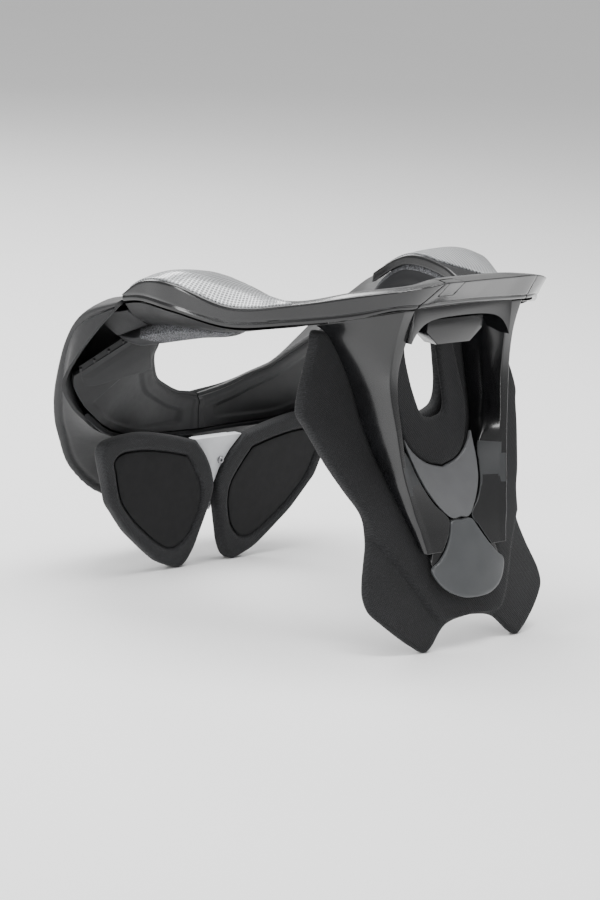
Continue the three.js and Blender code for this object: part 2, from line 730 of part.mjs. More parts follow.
// Rear body
function outwards(row, distance) {
  const edge = point(row, "edge", RING);
  const rim = point(row, "rim", RING);
  const way = [rim[0] - edge[0], rim[1] - edge[1]];
  const length = Math.hypot(...way);
  return [(way[0] * distance) / length, (way[1] * distance) / length, 0];
}

function shifted(p, step) {
  return p.map((value, i) => value + step[i]);
}

function rearSection(row) {
  const seat = outwards(row, COLLAR_WALL + COLLAR_SEAT);
  const edge = shifted(point(row, "edge", RING), seat);
  const back = point(row, "back", RING);
  const rim = point(row, "rim", RING);
  const low = shifted(point(row, "low", RING), seat);
  low[2] -= LOW_DROP;
  const chain = [edge, back, mix(back, rim, 0.5), rim, mix(rim, low, 0.5), low];
  chain[2] = shifted(chain[2], outwards(row, 2));
  return uprightWall(chain, SHELL_WALL, edge, rim);
}

function rearShell() {
  return loft(bothSides(rowsBetween(REAR, 0, 8, 2).reverse()).map(rearSection));
}

// A point of the collar's surface: place along the rows, share from edge to low, depth outwards.
function collarPoint(place, share, depth) {
  const row = rowAt(REAR, place);
  const edge = point(row, "edge", RING);
  const low = point(row, "low", RING);
  const p = shifted(mix(edge, low, share), outwards(row, depth));
  p[0] = Math.max(p[0], CLEARANCE);
  return p;
}

function collar() {
  const shares = [0, 0.33, 0.66, 1];
  const steps = 20;
  const sections = Array.from({ length: steps + 1 }, (_, i) => {
    const place = COLLAR_ROWS[0] + ((COLLAR_ROWS[1] - COLLAR_ROWS[0]) * i) / steps;
    const face = shares.map((share) => collarPoint(place, share, 0));
    const back = shares.map((share) => collarPoint(place, share, COLLAR_WALL));
    return [...face, ...back.reverse()];
  });
  const window = [WINDOW.top, WINDOW.low].map((share, i) => {
    const to = i === 0 ? WINDOW.topTo : WINDOW.lowTo;
    const places = [0, 0.25, 0.5, 0.75, 1].map((t) => WINDOW.from + (to - WINDOW.from) * t);
    const face = places.map((place) => collarPoint(place, share, -2 * COLLAR_WALL));
    const back = places.map((place) => collarPoint(place, share, 3 * COLLAR_WALL));
    return [...face, ...back.reverse()];
  });
  return surface(solid(loft(sections)).subtract(solid(loft(window))));
}

// Crossed ribs behind the collar's window.
function ribBlock() {
  const near = COLLAR_WALL + 2.8;
  const far = near + 3.5;
  const bars = [];
  const bar = (from, to, width) => {
    const sections = [from, to].map(([place, share]) => [
      collarPoint(place - width, share, near),
      collarPoint(place + width, share, near),
      collarPoint(place + width, share, far),
      collarPoint(place - width, share, far),
    ]);
    bars.push(solid(loft(sections)));
  };
  const beam = (share, from, to) => {
    const sections = [from, (from + to) / 2, to].map((place) => [
      collarPoint(place, share - 0.04, near + 0.5),
      collarPoint(place, share + 0.04, near + 0.5),
      collarPoint(place, share + 0.04, far - 0.5),
      collarPoint(place, share - 0.04, far - 0.5),
    ]);
    bars.push(solid(loft(sections)));
  };
  for (const place of [1.05, 1.4, 1.75, 2.1]) {
    bar([place, 0.14], [place, 0.8], 0.05);
  }
  for (const share of [0.16, 0.45, 0.78]) {
    beam(share, 1, 2.15);
  }
  return surface(wasm.Manifold.union(bars));
}

// A thin tube along the low edge of the collar.
function rearLip() {
  const radius = 1.7;
  const sides = 8;
  return loft(bothSides(rowsBetween(REAR, 2.5, 8, 2).reverse()).map((row) => {
    const way = outwards(row, 1);
    const low = shifted(point(row, "low", RING), outwards(row, COLLAR_WALL / 2));
    return Array.from({ length: sides }, (_, i) => {
      const angle = ((i + 0.5) / sides) * 2 * Math.PI;
      const across = radius * Math.cos(angle);
      return [
        low[0] + way[0] * across,
        low[1] + way[1] * across,
        low[2] - radius - CLEARANCE - 0.3 + radius * Math.sin(angle),
      ];
    });
  }));
}

function hingeBlock() {
  return loft(HINGE_BLOCK.map((row) => [
    point(row, "top", RING),
    point(row, "keel", RING),
    point(row, "inner", RING),
    point(row, "back", RING),
  ]));
}

// Strut
function legSection(row) {
  const z = row.z * FRONT.z;
  const place = (name) => [row[name + "X"] * FRONT.x, row[name + "Y"] * FRONT.y, z];
  const rearX = row.rearX * FRONT.x;
  const rearZ = row.rearZ * FRONT.z;
  const rear = [rearX, padFront(rearX, rearZ) - STRUT_SEAT, rearZ];
  const out = place("out");
  const ridge = place("ridge");
  const wallX = row.wallX * FRONT.x;
  const wallY = Math.min(padFront(wallX, z) - STRUT_SEAT, ridge[1] + row.depth * FRONT.y);
  const chain = [rear, mix(rear, out, 0.5), out, place("in"), ridge, [wallX, wallY, z]];
  chain[1][0] += 1.5;
  return wallSection(
    chain,
    STRUT_WALL * 0.8,
    (p) => p[0],
    (p) => p[1],
    (p, a, b) => [p[0] + a, p[1] + b, p[2]],
  );
}

function strut() {
  const leg = loft(rowsBetween(LEG, 0, LEG.length - 1, 1).map(legSection));
  const edge = ARCH_EDGE.map((row) => [row.x * FRONT.x, row.z * FRONT.z]);
  const reachX = edge[edge.length - 1][0];
  const corners = [[reachX, ARCH.top * FRONT.z], [-reachX, ARCH.top * FRONT.z]];
  const turned = edge.slice(1).reverse().map(([x, z]) => [-x, z]);
  const arch = prism([...turned, ...edge, ...corners], ARCH.front * FRONT.y, ARCH.back * FRONT.y);
  const webFront = (x, z) => plateFront(x, z) + PLATE_WALL + CLEARANCE;
  const reach = STRUT_FOOT.halfWidth * FRONT.x;
  const low = STRUT_FOOT.bottom * FRONT.z;
  const high = STRUT_FOOT.top * FRONT.z;
  const web = wholeOutline(WEB_OUTLINE, 2).map(([x, z]) => [
    Math.max(-reach, Math.min(reach, x)),
    Math.max(low, Math.min(high, z)),
  ]);
  return surface(wasm.Manifold.union([
    solid(leg),
    solid(mirrored(leg)),
    solid(arch),
    plate(web, 8, 8, webFront, STRUT_WALL),
  ]));
}

function bracket() {
  const outline = [
    [-BRACKET.lowHalf * FRONT.x, BRACKET.low * FRONT.z],
    [BRACKET.lowHalf * FRONT.x, BRACKET.low * FRONT.z],
    [BRACKET.topHalf * FRONT.x, 0.5 * (BRACKET.low + BRACKET.top) * FRONT.z],
    [BRACKET.topHalf * FRONT.x, BRACKET.top * FRONT.z],
    [-BRACKET.topHalf * FRONT.x, BRACKET.top * FRONT.z],
    [-BRACKET.topHalf * FRONT.x, 0.5 * (BRACKET.low + BRACKET.top) * FRONT.z],
  ];
  return prism(outline, BRACKET.front * FRONT.y, BRACKET.back * FRONT.y);
}

// Chest pad
function chestPad() {
  const outline = wholeOutline(PAD_OUTLINE, 1);
  const baseFront = (x, z) => padFront(x, z) + PAD_STEP;
  const base = plate(outline, 12, 12, baseFront, PAD_THICKNESS - PAD_STEP);
  const raised = plate(outline, 12, 12, padFront, PAD_STEP + 1);
  const zone = solid(prism(wholeOutline(RAISED_OUTLINE, 1), -CHEST_DEPTH, 2 * CHEST_DEPTH));
  return surface(base.add(raised.intersect(zone)));
}

function padRing() {
  const whole = plate(wholeOutline(FOAM_OUTLINE, 2), 6, 8, foamFront, RING_FOAM);
  const hole = solid(prism(wholeOutline(FOAM_HOLE, 2), -CHEST_DEPTH, 2 * CHEST_DEPTH));
  return surface(whole.subtract(hole));
}

// Paddles: built upright, then leaned about X and set in place
function paddleOutline(rows, grow) {
  const smooth = rowsBetween([...rows, rows[0]], 0, rows.length, 1).slice(0, -1);
  return grown(smooth.map((row) => [row.x * PADDLE_WIDTH, row.z * PADDLE_HEIGHT]), grow);
}

function leaned(geometry) {
  const place = geometry.getAttribute("position");
  for (let i = 0; i < place.count; i++) {
    place.setY(i, place.getY(i) + PADDLE_PLACE - PADDLE_LEAN * place.getZ(i));
  }
  return geometry;
}

// Straight slab with its long edges rounded by one chamfer each side.
function cushion(outline, from, to, round) {
  const inner = grown(outline, -round);
  const layers = [
    inner.map(([x, z]) => [x, from, z]),
    outline.map(([x, z]) => [x, from + round, z]),
    outline.map(([x, z]) => [x, to - round, z]),
    inner.map(([x, z]) => [x, to, z]),
  ];
  const count = outline.length;
  const triangles = [];
  for (let s = 0; s < layers.length - 1; s++) {
    for (let i = 0; i < count; i++) {
      const j = (i + 1) % count;
      const [a, b, c, d] = [s * count + i, s * count + j, (s + 1) * count + j, (s + 1) * count + i];
      triangles.push([a, b, c], [a, c, d]);
    }
  }
  const faces = THREE.ShapeUtils.triangulateShape(inner.map(([x, z]) => new THREE.Vector2(x, z)), []);
  const last = (layers.length - 1) * count;
  for (const [a, b, c] of faces) {
    triangles.push([a, c, b], [last + a, last + b, last + c]);
  }
  return closed(layers.flat(), triangles);
}

function paddle() {
  const body = solid(cushion(paddleOutline(PADDLE_OUTLINE, 0), 0, PADDLE_THICKNESS, PADDLE_EDGE_ROUND));
  const pocket = solid(prism(paddleOutline(INSERT_OUTLINE, CLEARANCE), -1, INSERT_DEPTH + CLEARANCE));
  return leaned(surface(body.subtract(pocket)));
}

function paddleInsert() {
  return leaned(cushion(paddleOutline(INSERT_OUTLINE, 0), 0.6, INSERT_DEPTH, 0.5));
}

// Rear strut: a wedge between the paddles' inner edges on a plate behind them, with a tongue
// that reaches the rear panel.
function rearStrut() {
  const wedge = PADDLE_OUTLINE.slice(0, 4).map((row) => [
    Math.max(row.x * PADDLE_WIDTH - STRUT_GAP, 0.4),
    row.z * PADDLE_HEIGHT,
  ]);
  const wedgeOutline = [...wedge, ...wedge.map(([x, z]) => [-x, z]).reverse()];
  const half = REAR_PLATE.halfWidth;
  const plateOutline = [
    [half, REAR_PLATE.top * PADDLE_HEIGHT],
    [half * 0.4, REAR_PLATE.low * PADDLE_HEIGHT],
    [-half * 0.4, REAR_PLATE.low * PADDLE_HEIGHT],
    [-half, REAR_PLATE.top * PADDLE_HEIGHT],
  ];
  const behind = PADDLE_THICKNESS + CLEARANCE;
  const front = solid(leaned(prism(wedgeOutline, STRUT_SETBACK, behind + 1)));
  const back = solid(leaned(prism(plateOutline, behind, behind + REAR_PLATE.wall)));
  const low = point(REAR[8], "low", RING);
  const rim = point(REAR[8], "rim", RING);
  const seat = COLLAR_WALL + COLLAR_SEAT;
  const tongueTop = REAR_PLATE.tongue * PADDLE_HEIGHT;
  const share = (low[2] - LOW_DROP - tongueTop) / (low[2] - LOW_DROP - rim[2]);
  const reach = low[1] + seat + (rim[1] - low[1] - seat) * share - CLEARANCE;
  const tongue = [
    [-half * 0.6, tongueTop - 9],
    [half * 0.6, tongueTop - 9],
    [half * 0.6, tongueTop],
    [-half * 0.6, tongueTop],
  ];
  return surface(wasm.Manifold.union([front, back, solid(prism(tongue, PADDLE_PLACE + behind - 4, reach))]));
}

function screw() {
  const head = new THREE.CylinderGeometry(SCREW.radius, SCREW.radius, SCREW.height, 16);
  const front = PADDLE_PLACE - PADDLE_LEAN * SCREW.z + STRUT_SETBACK;
  head.translate(SCREW.x, front - SCREW.height / 2 - CLEARANCE, SCREW.z);
  return mergeVertices(stripped(head), 1e-4);
}

const bridgeBody = bridgeSolid();
add("bridge", surface(bridgeBody.subtract(catchSpace(CLEARANCE, CATCH_TRAVEL))), "gloss");
add("bridge_catch", surface(bridgeBody.intersect(catchSpace(0, 0))), "gloss");
addPair("deck", deck(), "gloss");
addPair("deck_inlay", deckInlay(), "silver");
addPair("arm", arm(), "gloss");
addPair("shoulder_pad", shoulderPad(), "foam");
add("front_strut", strut(), "gloss");
add("crescent_panel", surface(plate(wholeOutline(CRESCENT_OUTLINE, 1), 8, 6, plateFront, PLATE_WALL)), "light");
add("shield_panel", surface(plate(wholeOutline(SHIELD_OUTLINE, 1), 8, 6, plateFront, PLATE_WALL)), "grey");
add("front_bracket", bracket(), "gloss");
add("chest_pad", chestPad(), "foam");
add("pad_ring", padRing(), "foam");
add("rear_shell", rearShell(), "satin");
addPair("collar", collar(), "satin");
addPair("rib_block", ribBlock(), "satin");
addPair("hinge_block", hingeBlock(), "satin");
add("rear_lip", rearLip(), "smooth");
add("rear_strut", rearStrut(), "white");
add("rear_screw", screw(), "steel");
addPair("paddle", paddle(), "foam");
addPair("paddle_insert", paddleInsert(), "smooth");

// The frame's origin is the middle of the bounding box's floor.
const box = new THREE.Box3().setFromObject(part);
part.position.set(0, -(box.min.y + box.max.y) / 2, -box.min.z);
part.updateMatrixWorld(true);

export default part;
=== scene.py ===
"""Looks of the motocross neck brace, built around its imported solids."""

import math

import bmesh
import bpy
import numpy as np
from bpy.props import FloatProperty, FloatVectorProperty, PointerProperty
from mathutils import Matrix, Vector
from mathutils.geometry import delaunay_2d_cdt


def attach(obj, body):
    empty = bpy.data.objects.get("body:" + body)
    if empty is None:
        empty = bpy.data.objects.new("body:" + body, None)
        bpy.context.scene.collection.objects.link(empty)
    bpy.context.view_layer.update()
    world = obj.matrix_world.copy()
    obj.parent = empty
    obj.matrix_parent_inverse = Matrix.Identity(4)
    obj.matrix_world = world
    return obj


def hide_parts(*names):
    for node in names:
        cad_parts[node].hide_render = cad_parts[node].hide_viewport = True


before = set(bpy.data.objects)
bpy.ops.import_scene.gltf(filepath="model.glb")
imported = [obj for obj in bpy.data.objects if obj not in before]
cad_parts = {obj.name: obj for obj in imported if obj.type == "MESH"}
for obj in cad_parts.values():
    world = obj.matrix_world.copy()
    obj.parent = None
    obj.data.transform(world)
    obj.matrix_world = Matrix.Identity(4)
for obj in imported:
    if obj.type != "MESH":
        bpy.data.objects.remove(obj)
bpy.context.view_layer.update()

bl_info = {
    "name": "Motocross neck brace",
    "version": (1, 0, 0),
    "blender": (4, 5, 0),
    "location": "View3D > Sidebar > Brace",
    "description": "Builds the shells, pads and finishes of a motocross neck brace",
    "category": "Object",
}

MM = 0.001
# The tables count Y from the ring's front corner and Z from the floor.
PLACE = Vector((0, -124.13 * MM, 0))
CLEARANCE = 0.35 * MM
SECTION_STEPS = 10
RELIEF_POINTS = 110
X_AXIS, Y_AXIS, Z_AXIS = Matrix.Identity(3)

# Bridge and deck from the front centre back to the side joint: out is the top outer edge,
# lip the band's low edge, in the neck edge, crown the top's height.
DECK = {
    "outX": (0, 0.16, 0.295, 0.432, 0.59, 0.748, 0.885, 0.995, 1, 0.993),
    "outY": (0.002, 0.001, 0, 0.031, 0.115, 0.231, 0.346, 0.465, 0.558, 0.623),
    "outZ": (1, 1, 1, 0.981, 0.953, 0.913, 0.886, 0.929, 0.922, 0.872),
    "lipX": (0, 0.19, 0.353, 0.46, 0.59, 0.745, 0.878, 0.985, 0.993, 0.986),
    "lipY": (0.06, 0.058, 0.054, 0.075, 0.127, 0.235, 0.346, 0.465, 0.558, 0.619),
    "lipZ": (0.923, 0.922, 0.921, 0.916, 0.889, 0.858, 0.836, 0.86, 0.867, 0.854),
    "inX": (0, 0.11, 0.2, 0.324, 0.453, 0.561, 0.626, 0.647, 0.64, 0.615),
    "inY": (0.092, 0.092, 0.092, 0.131, 0.208, 0.315, 0.423, 0.519, 0.577, 0.638),
    "inZ": (0.991, 0.991, 0.988, 0.958, 0.928, 0.89, 0.925, 0.937, 0.92, 0.865),
    "crown": (1, 1, 1, 0.986, 0.96, 0.918, 0.93, 0.955, 0.937, 0.886),
}
CORNER_ROW = 2
JOINT_ROW = 9
CORNER_GAP = 0.025
# The silver inlay's first and last rows of the deck, and how far it reaches inwards there.
INLAY_START = 5
INLAY_END = 8.6
INLAY_REACH = ((5, 0.08), (5.33, 0.42), (5.67, 0.7), (6, 0.9), (6.4, 1))
CATCH_LOW = Vector((-38, -5, 206)) * MM
CATCH_HIGH = Vector((-24, 9, 220)) * MM

# Arm below its deck: top under the band, keel the bottom edge, inner the pad's seat.
ARM = {
    "topX": (0.655, 0.741, 0.874, 0.98, 0.987, 0.978),
    "topY": (0.174, 0.235, 0.346, 0.465, 0.558, 0.617),
    "topZ": (0.875, 0.851, 0.83, 0.854, 0.861, 0.848),
    "keelX": (0.59, 0.647, 0.741, 0.791, 0.784, 0.759),
    "keelY": (0.192, 0.262, 0.385, 0.488, 0.565, 0.64),
    "keelZ": (0.862, 0.8475, 0.807, 0.795, 0.788, 0.772),
    "innerX": (0.518, 0.604, 0.698, 0.741, 0.734, 0.712),
    "innerY": (0.231, 0.285, 0.4, 0.5, 0.569, 0.638),
    "innerZ": (0.878, 0.857, 0.865, 0.884, 0.865, 0.819),
}

# Foam pad under the arm: neck, sole and seat go round it from the neck's side, headZ is its
# top's height.
SHOULDER_PAD = {
    "neckX": (0.582, 0.607, 0.625, 0.625, 0.61, 0.68, 0.715),
    "neckY": (0.36, 0.423, 0.519, 0.577, 0.632, 0.68, 0.72),
    "neckZ": (0.872, 0.86, 0.865, 0.845, 0.8, 0.75, 0.735),
    "soleX": (0.637, 0.667, 0.697, 0.697, 0.7, 0.745, 0.77),
    "soleY": (0.355, 0.41, 0.51, 0.575, 0.636, 0.68, 0.72),
    "soleZ": (0.862, 0.79, 0.757, 0.735, 0.715, 0.702, 0.71),
    "seatX": (0.662, 0.727, 0.772, 0.78, 0.79, 0.8, 0.81),
    "seatY": (0.36, 0.403, 0.495, 0.568, 0.64, 0.68, 0.72),
    "seatZ": (0.85, 0.8, 0.785, 0.77, 0.745, 0.73, 0.73),
    "headZ": (0.885, 0.91, 0.92, 0.905, 0.84, 0.775, 0.755),
}

# Rear body from the side joint to the rear centre: edge is the neck edge, back the upper
# shoulder, rim the outer low rim, low the inner low edge.
REAR = {
    "edgeX": (0.612, 0.597, 0.547, 0.496, 0.432, 0.36, 0.273, 0.144, 0),
    "edgeY": (0.648, 0.692, 0.727, 0.765, 0.796, 0.823, 0.846, 0.865, 0.873),
    "edgeZ": (0.809, 0.767, 0.693, 0.651, 0.609, 0.567, 0.54, 0.507, 0.488),
    "backX": (0.849, 0.835, 0.799, 0.748, 0.683, 0.604, 0.475, 0.259, 0),
    "backY": (0.638, 0.731, 0.796, 0.858, 0.896, 0.927, 0.95, 0.969, 0.973),
    "backZ": (0.862, 0.837, 0.772, 0.698, 0.623, 0.553, 0.498, 0.456, 0.433),
    "rimX": (0.99, 0.942, 0.899, 0.835, 0.777, 0.712, 0.576, 0.338, 0),
    "rimY": (0.628, 0.765, 0.842, 0.904, 0.935, 0.95, 0.977, 0.994, 1),
    "rimZ": (0.853, 0.791, 0.698, 0.558, 0.46, 0.381, 0.274, 0.177, 0.144),
    "lowX": (0.935, 0.915, 0.836, 0.74, 0.662, 0.568, 0.446, 0.237, 0),
    "lowY": (0.749, 0.798, 0.807, 0.806, 0.819, 0.835, 0.844, 0.862, 0.865),
    "lowZ": (0.698, 0.595, 0.521, 0.47, 0.442, 0.419, 0.4, 0.391, 0.386),
}
REAR_CENTRE = 8
COLLAR_START = 0.9
LIP_END = 2.5
# Window in the collar: ends as rows of the rear body, edges as shares of the collar's height.
WINDOW = {"from": 1.15, "topTo": 3, "lowTo": 1.5, "top": 0.24, "low": 0.9}
RIBS = {"from": 1.05, "to": 2.1, "top": 0.15, "low": 0.8, "depth": 7.5 * MM}
RIB_LEVELS = (0.16, 0.32, 0.48, 0.64, 0.79)
# Block at the side joint, from its front end to its rear end.
HINGE_BLOCK = {
    "topX": (0.949, 0.9047),
    "topY": (0.6255, 0.7591),
    "topZ": (0.825, 0.7875),
    "keelX": (0.78, 0.8327),
    "keelY": (0.643, 0.7091),
    "keelZ": (0.772, 0.73),
    "innerX": (0.72, 0.734),
    "innerY": (0.643, 0.704),
    "innerZ": (0.8, 0.767),
    "backX": (0.849, 0.8257),
    "backY": (0.6345, 0.7351),
    "backZ": (0.835, 0.8115),
}

# Front faces: height, depth at the middle, bow at the half width.
CREASE_EASE = (-0.02, -0.01, 0, 0.01, 0.02)
PAD_FACE = (
    (0, -0.194, 0.077),
    (0.075, -0.118, 0.09),
    (0.14, -0.055, 0.15),
    (0.219, 0.03, 0.21),
    (0.307, 0.132, 0.22),
    (0.349, 0.192, 0.15),
    (0.423, 0.33, 0.09),
    (0.498, 0.495, 0.03),
    (0.614, 0.62, 0.09),
    (0.726, 0.73, 0.057),
    (0.84, 0.815, 0.013),
)
PLATE_FACE = (
    (0.13, -0.167, 0.51),
    (0.219, -0.09, 0.576),
    (0.26, -0.035, 0.5),
    (0.307, 0.042, 0.13),
    (0.335, 0.088, 0),
    (0.377, 0.167, -0.384),
    (0.419, 0.243, -0.51),
    (0.465, 0.338, -0.64),
    (0.502, 0.403, -0.576),
    (0.549, 0.479, -0.51),
)
FOAM_FACE = (
    (0.46, 0.325, 0),
    (0.544, 0.45, 0),
    (0.623, 0.507, 0),
    (0.688, 0.59, 0),
    (0.753, 0.66, 0),
    (0.8, 0.69, 0),
    (0.86, 0.71, 0),
)

# Half outlines seen from the front, as X and Z shares.
PAD_OUTLINE = (
    (0, 0.077), (0.219, 0.062), (0.37, 0.012), (0.437, 0), (0.52, 0.018), (0.61, 0.044),
    (0.71, 0.078), (0.795, 0.113), (0.81, 0.15), (0.788, 0.185), (0.74, 0.235),
    (0.695, 0.295), (0.705, 0.36), (0.79, 0.423), (0.88, 0.498), (0.96, 0.582),
    (0.998, 0.62), (0.968, 0.672), (0.91, 0.73), (0.86, 0.79), (0.83, 0.832),
    (0.75, 0.832), (0.5, 0.82), (0.3, 0.818), (0.235, 0.81), (0.235, 0.74),
    (0.21, 0.66), (0.14, 0.612), (0, 0.592),
)
RAISED_OUTLINE = (
    (0, 0.08), (0.25, 0.08), (0.33, 0.1), (0.4, 0.143), (0.52, 0.225), (0.66, 0.3),
    (0.8, 0.36), (1.2, 0.5), (1.2, 0.9), (0, 0.9),
)
FOAM_OUTLINE = (
    (0, 0.466), (0.13, 0.479), (0.226, 0.503), (0.29, 0.54), (0.32, 0.6), (0.322, 0.69),
    (0.31, 0.76), (0.29, 0.82), (0.25, 0.845), (0, 0.855),
)
FOAM_HOLE = (
    (0, 0.589), (0.09, 0.6), (0.13, 0.64), (0.148, 0.73), (0.14, 0.79), (0.08, 0.812),
    (0, 0.815),
)
CRESCENT_OUTLINE = (
    (0, 0.34), (0.086, 0.34), (0.178, 0.377), (0.243, 0.419), (0.279, 0.46),
    (0.301, 0.502), (0.312, 0.545), (0.277, 0.522), (0.219, 0.497), (0.125, 0.475),
    (0, 0.462),
)
SHIELD_OUTLINE = (
    (0, 0.134), (0.12, 0.138), (0.24, 0.158), (0.31, 0.188), (0.332, 0.217),
    (0.27, 0.236), (0.212, 0.259), (0.165, 0.284), (0.126, 0.31), (0.09, 0.332),
    (0, 0.332),
)
WEB_OUTLINE = (
    (0, 0.15), (0.15, 0.155), (0.26, 0.185), (0.31, 0.225), (0.3, 0.25), (0.25, 0.3),
    (0.2, 0.345), (0.25, 0.39), (0.29, 0.43), (0.31, 0.48), (0.2, 0.465), (0, 0.445),
)

# Strut leg at height z: out and in bound the front bevel, ridge is the inner front edge, wall
# the rear of the inner wall and rear the rear edge of the outer flank.
LEG = {
    "z": (0.9125, 0.833, 0.753, 0.679, 0.581, 0.502, 0.46, 0.419, 0.377, 0.34, 0.31, 0.284,
          0.259),
    "outX": (0.548, 0.55, 0.555, 0.551, 0.517, 0.494, 0.479, 0.46, 0.436, 0.417, 0.396, 0.381,
             0.367),
    "outY": (0.268, 0.326, 0.344, 0.328, 0.268, 0.219, 0.188, 0.15, 0.114, 0.076, 0.05, 0.025,
             0),
    "inX": (0.446, 0.457, 0.481, 0.482, 0.462, 0.443, 0.427, 0.404, 0.38, 0.354, 0.337, 0.325,
            0.318),
    "inY": (0.269, 0.312, 0.342, 0.332, 0.278, 0.236, 0.208, 0.171, 0.128, 0.09, 0.058, 0.031,
            0.006),
    "ridgeX": (0.43, 0.441, 0.465, 0.466, 0.446, 0.322, 0.296, 0.26, 0.196, 0.105, 0.138, 0.178,
               0.226),
    "ridgeY": (0.435, 0.486, 0.488, 0.464, 0.421, 0.351, 0.282, 0.215, 0.158, 0.106, 0.05,
               0.021, 0),
    "wallX": (0.412, 0.428, 0.44, 0.44, 0.42, 0.35, 0.318, 0.285, 0.222, 0.13, 0.16, 0.2, 0.244),
    "rearX": (0.87, 0.771, 0.667, 0.604, 0.562, 0.521, 0.5, 0.484, 0.458, 0.432, 0.406, 0.385,
              0.368),
    "rearZ": (0.853, 0.825, 0.753, 0.679, 0.581, 0.502, 0.46, 0.419, 0.377, 0.34, 0.31, 0.284,
              0.259),
    "depth": (0.36, 0.36, 0.36, 0.36, 0.36, 0.06, 0.06, 0.06, 0.06, 0.06, 0.06, 0.06, 0.05),
}
# Arch between the legs' tops and the bracket under it, with the arch's lower edge.
ARCH = {"top": 0.9195, "front": 0.27, "back": 0.5}
ARCH_EDGE = (
    (0, 0.887), (0.15, 0.886), (0.27, 0.881), (0.34, 0.872), (0.39, 0.858), (0.43, 0.838),
    (0.455, 0.82),
)
BRACKET = {
    "topHalf": 0.26, "lowHalf": 0.15, "top": 0.877, "low": 0.805, "front": 0.34, "back": 0.5,
}

# Paddle and insert outlines, X from the middle plane, as shares of a paddle's size.
PADDLE_OUTLINE = (
    (0.21, 0.905), (0.121, 0.8), (0.052, 0.678), (0.016, 0.562), (0.028, 0.456),
    (0.057, 0.344), (0.086, 0.244), (0.119, 0.133), (0.167, 0.04), (0.22, 0), (0.28, 0.01),
    (0.396, 0.06), (0.493, 0.133), (0.588, 0.216), (0.681, 0.3), (0.747, 0.378),
    (0.808, 0.456), (0.863, 0.529), (0.895, 0.619), (0.924, 0.707), (0.955, 0.79),
    (0.985, 0.9), (0.94, 0.975), (0.743, 1.006), (0.6, 1), (0.39, 0.956),
)
INSERT_OUTLINE = (
    (0.276, 0.8), (0.2, 0.689), (0.133, 0.567), (0.124, 0.456), (0.143, 0.356),
    (0.18, 0.256), (0.257, 0.172), (0.343, 0.161), (0.438, 0.211), (0.543, 0.294),
    (0.638, 0.378), (0.724, 0.472), (0.781, 0.556), (0.819, 0.656), (0.848, 0.756),
    (0.867, 0.833), (0.8, 0.878), (0.629, 0.878), (0.438, 0.844),
)
# Screw head of the rear strut: radius and depth of its rings in millimetres, from the rim in.
SCREW_PROFILE = ((2.2, 0), (2.2, -0.8), (1.9, -1.2), (1.1, -1.2), (1.0, -1.1), (1.0, -0.3))
SCREW_X = 3.6 * MM
SCREW_Z = 66 * MM


def length(name, description, default):
    return FloatProperty(name=name, description=description, default=default, unit="LENGTH")


def tint(name, description, default):
    return FloatVectorProperty(
        name=name, description=description, default=default, subtype="COLOR"
    )


class BraceSizes(bpy.types.PropertyGroup):
    ring_half_width: length("Ring half width", "Half the ring's width", 0.139)
    ring_depth: length("Ring depth", "Front corner to rear rim", 0.26)
    top_height: length("Top height", "Floor to the bridge's top edge", 0.215)
    chest_half_width: length("Chest half width", "Half the chest pad's width", 0.096)
    chest_depth: length("Chest depth", "Depth that the chest parts' shares count", 0.072)
    shell_wall: length("Shell wall", "Thickness of the hard shells", 0.0024)
    strut_wall: length("Strut wall", "Thickness of the strut", 0.0021)
    collar_wall: length("Collar wall", "Thickness of the collar", 0.003)
    plate_wall: length("Plate wall", "Thickness of the front plates", 0.0024)
    pad_thickness: length("Chest pad", "Thickness of the chest pad", 0.008)
    pad_step: length("Pad step", "Height of the chest pad's raised zone", 0.0024)
    ring_foam: length("Ring foam", "Thickness of the foam ring", 0.004)
    paddle_width: length("Paddle width", "Middle plane to a paddle's tip", 0.105)
    paddle_height: length("Paddle height", "Height of a paddle", 0.09)
    paddle_thickness: length("Paddle thickness", "Thickness of a paddle", 0.009)
    paddle_place: length("Paddle place", "Depth of a paddle's front at the floor", 0.2078)
    paddle_lean: FloatProperty(
        name="Paddle lean", description="Forward lean per height", default=0.07
    )
    insert_depth: length("Insert depth", "Depth of the pocket in a paddle", 0.0022)
    pad_grain: length("Mesh spacing", "Spacing of the soft pads' faces", 0.0016)


class BraceColours(bpy.types.PropertyGroup):
    gloss: tint("Gloss plastic", "Colour of the glossy shells", (0.0035, 0.0036, 0.004))
    satin: tint("Satin plastic", "Colour of the satin shells", (0.009, 0.0092, 0.01))
    silver: tint("Deck inlay", "Colour of the deck inlays", (0.4, 0.41, 0.42))
    foam: tint("Foam", "Colour of the foam pads", (0.016, 0.0163, 0.0175))
    smooth: tint("Smooth pad", "Colour of the smooth pads", (0.0035, 0.0036, 0.0042))
    light: tint("Crescent", "Colour of the crescent plate", (0.1, 0.102, 0.106))
    grey: tint("Shield", "Colour of the shield plate", (0.062, 0.065, 0.068))
    white: tint("Rear strut", "Colour of the rear strut", (0.62, 0.63, 0.65))


# Shader maths


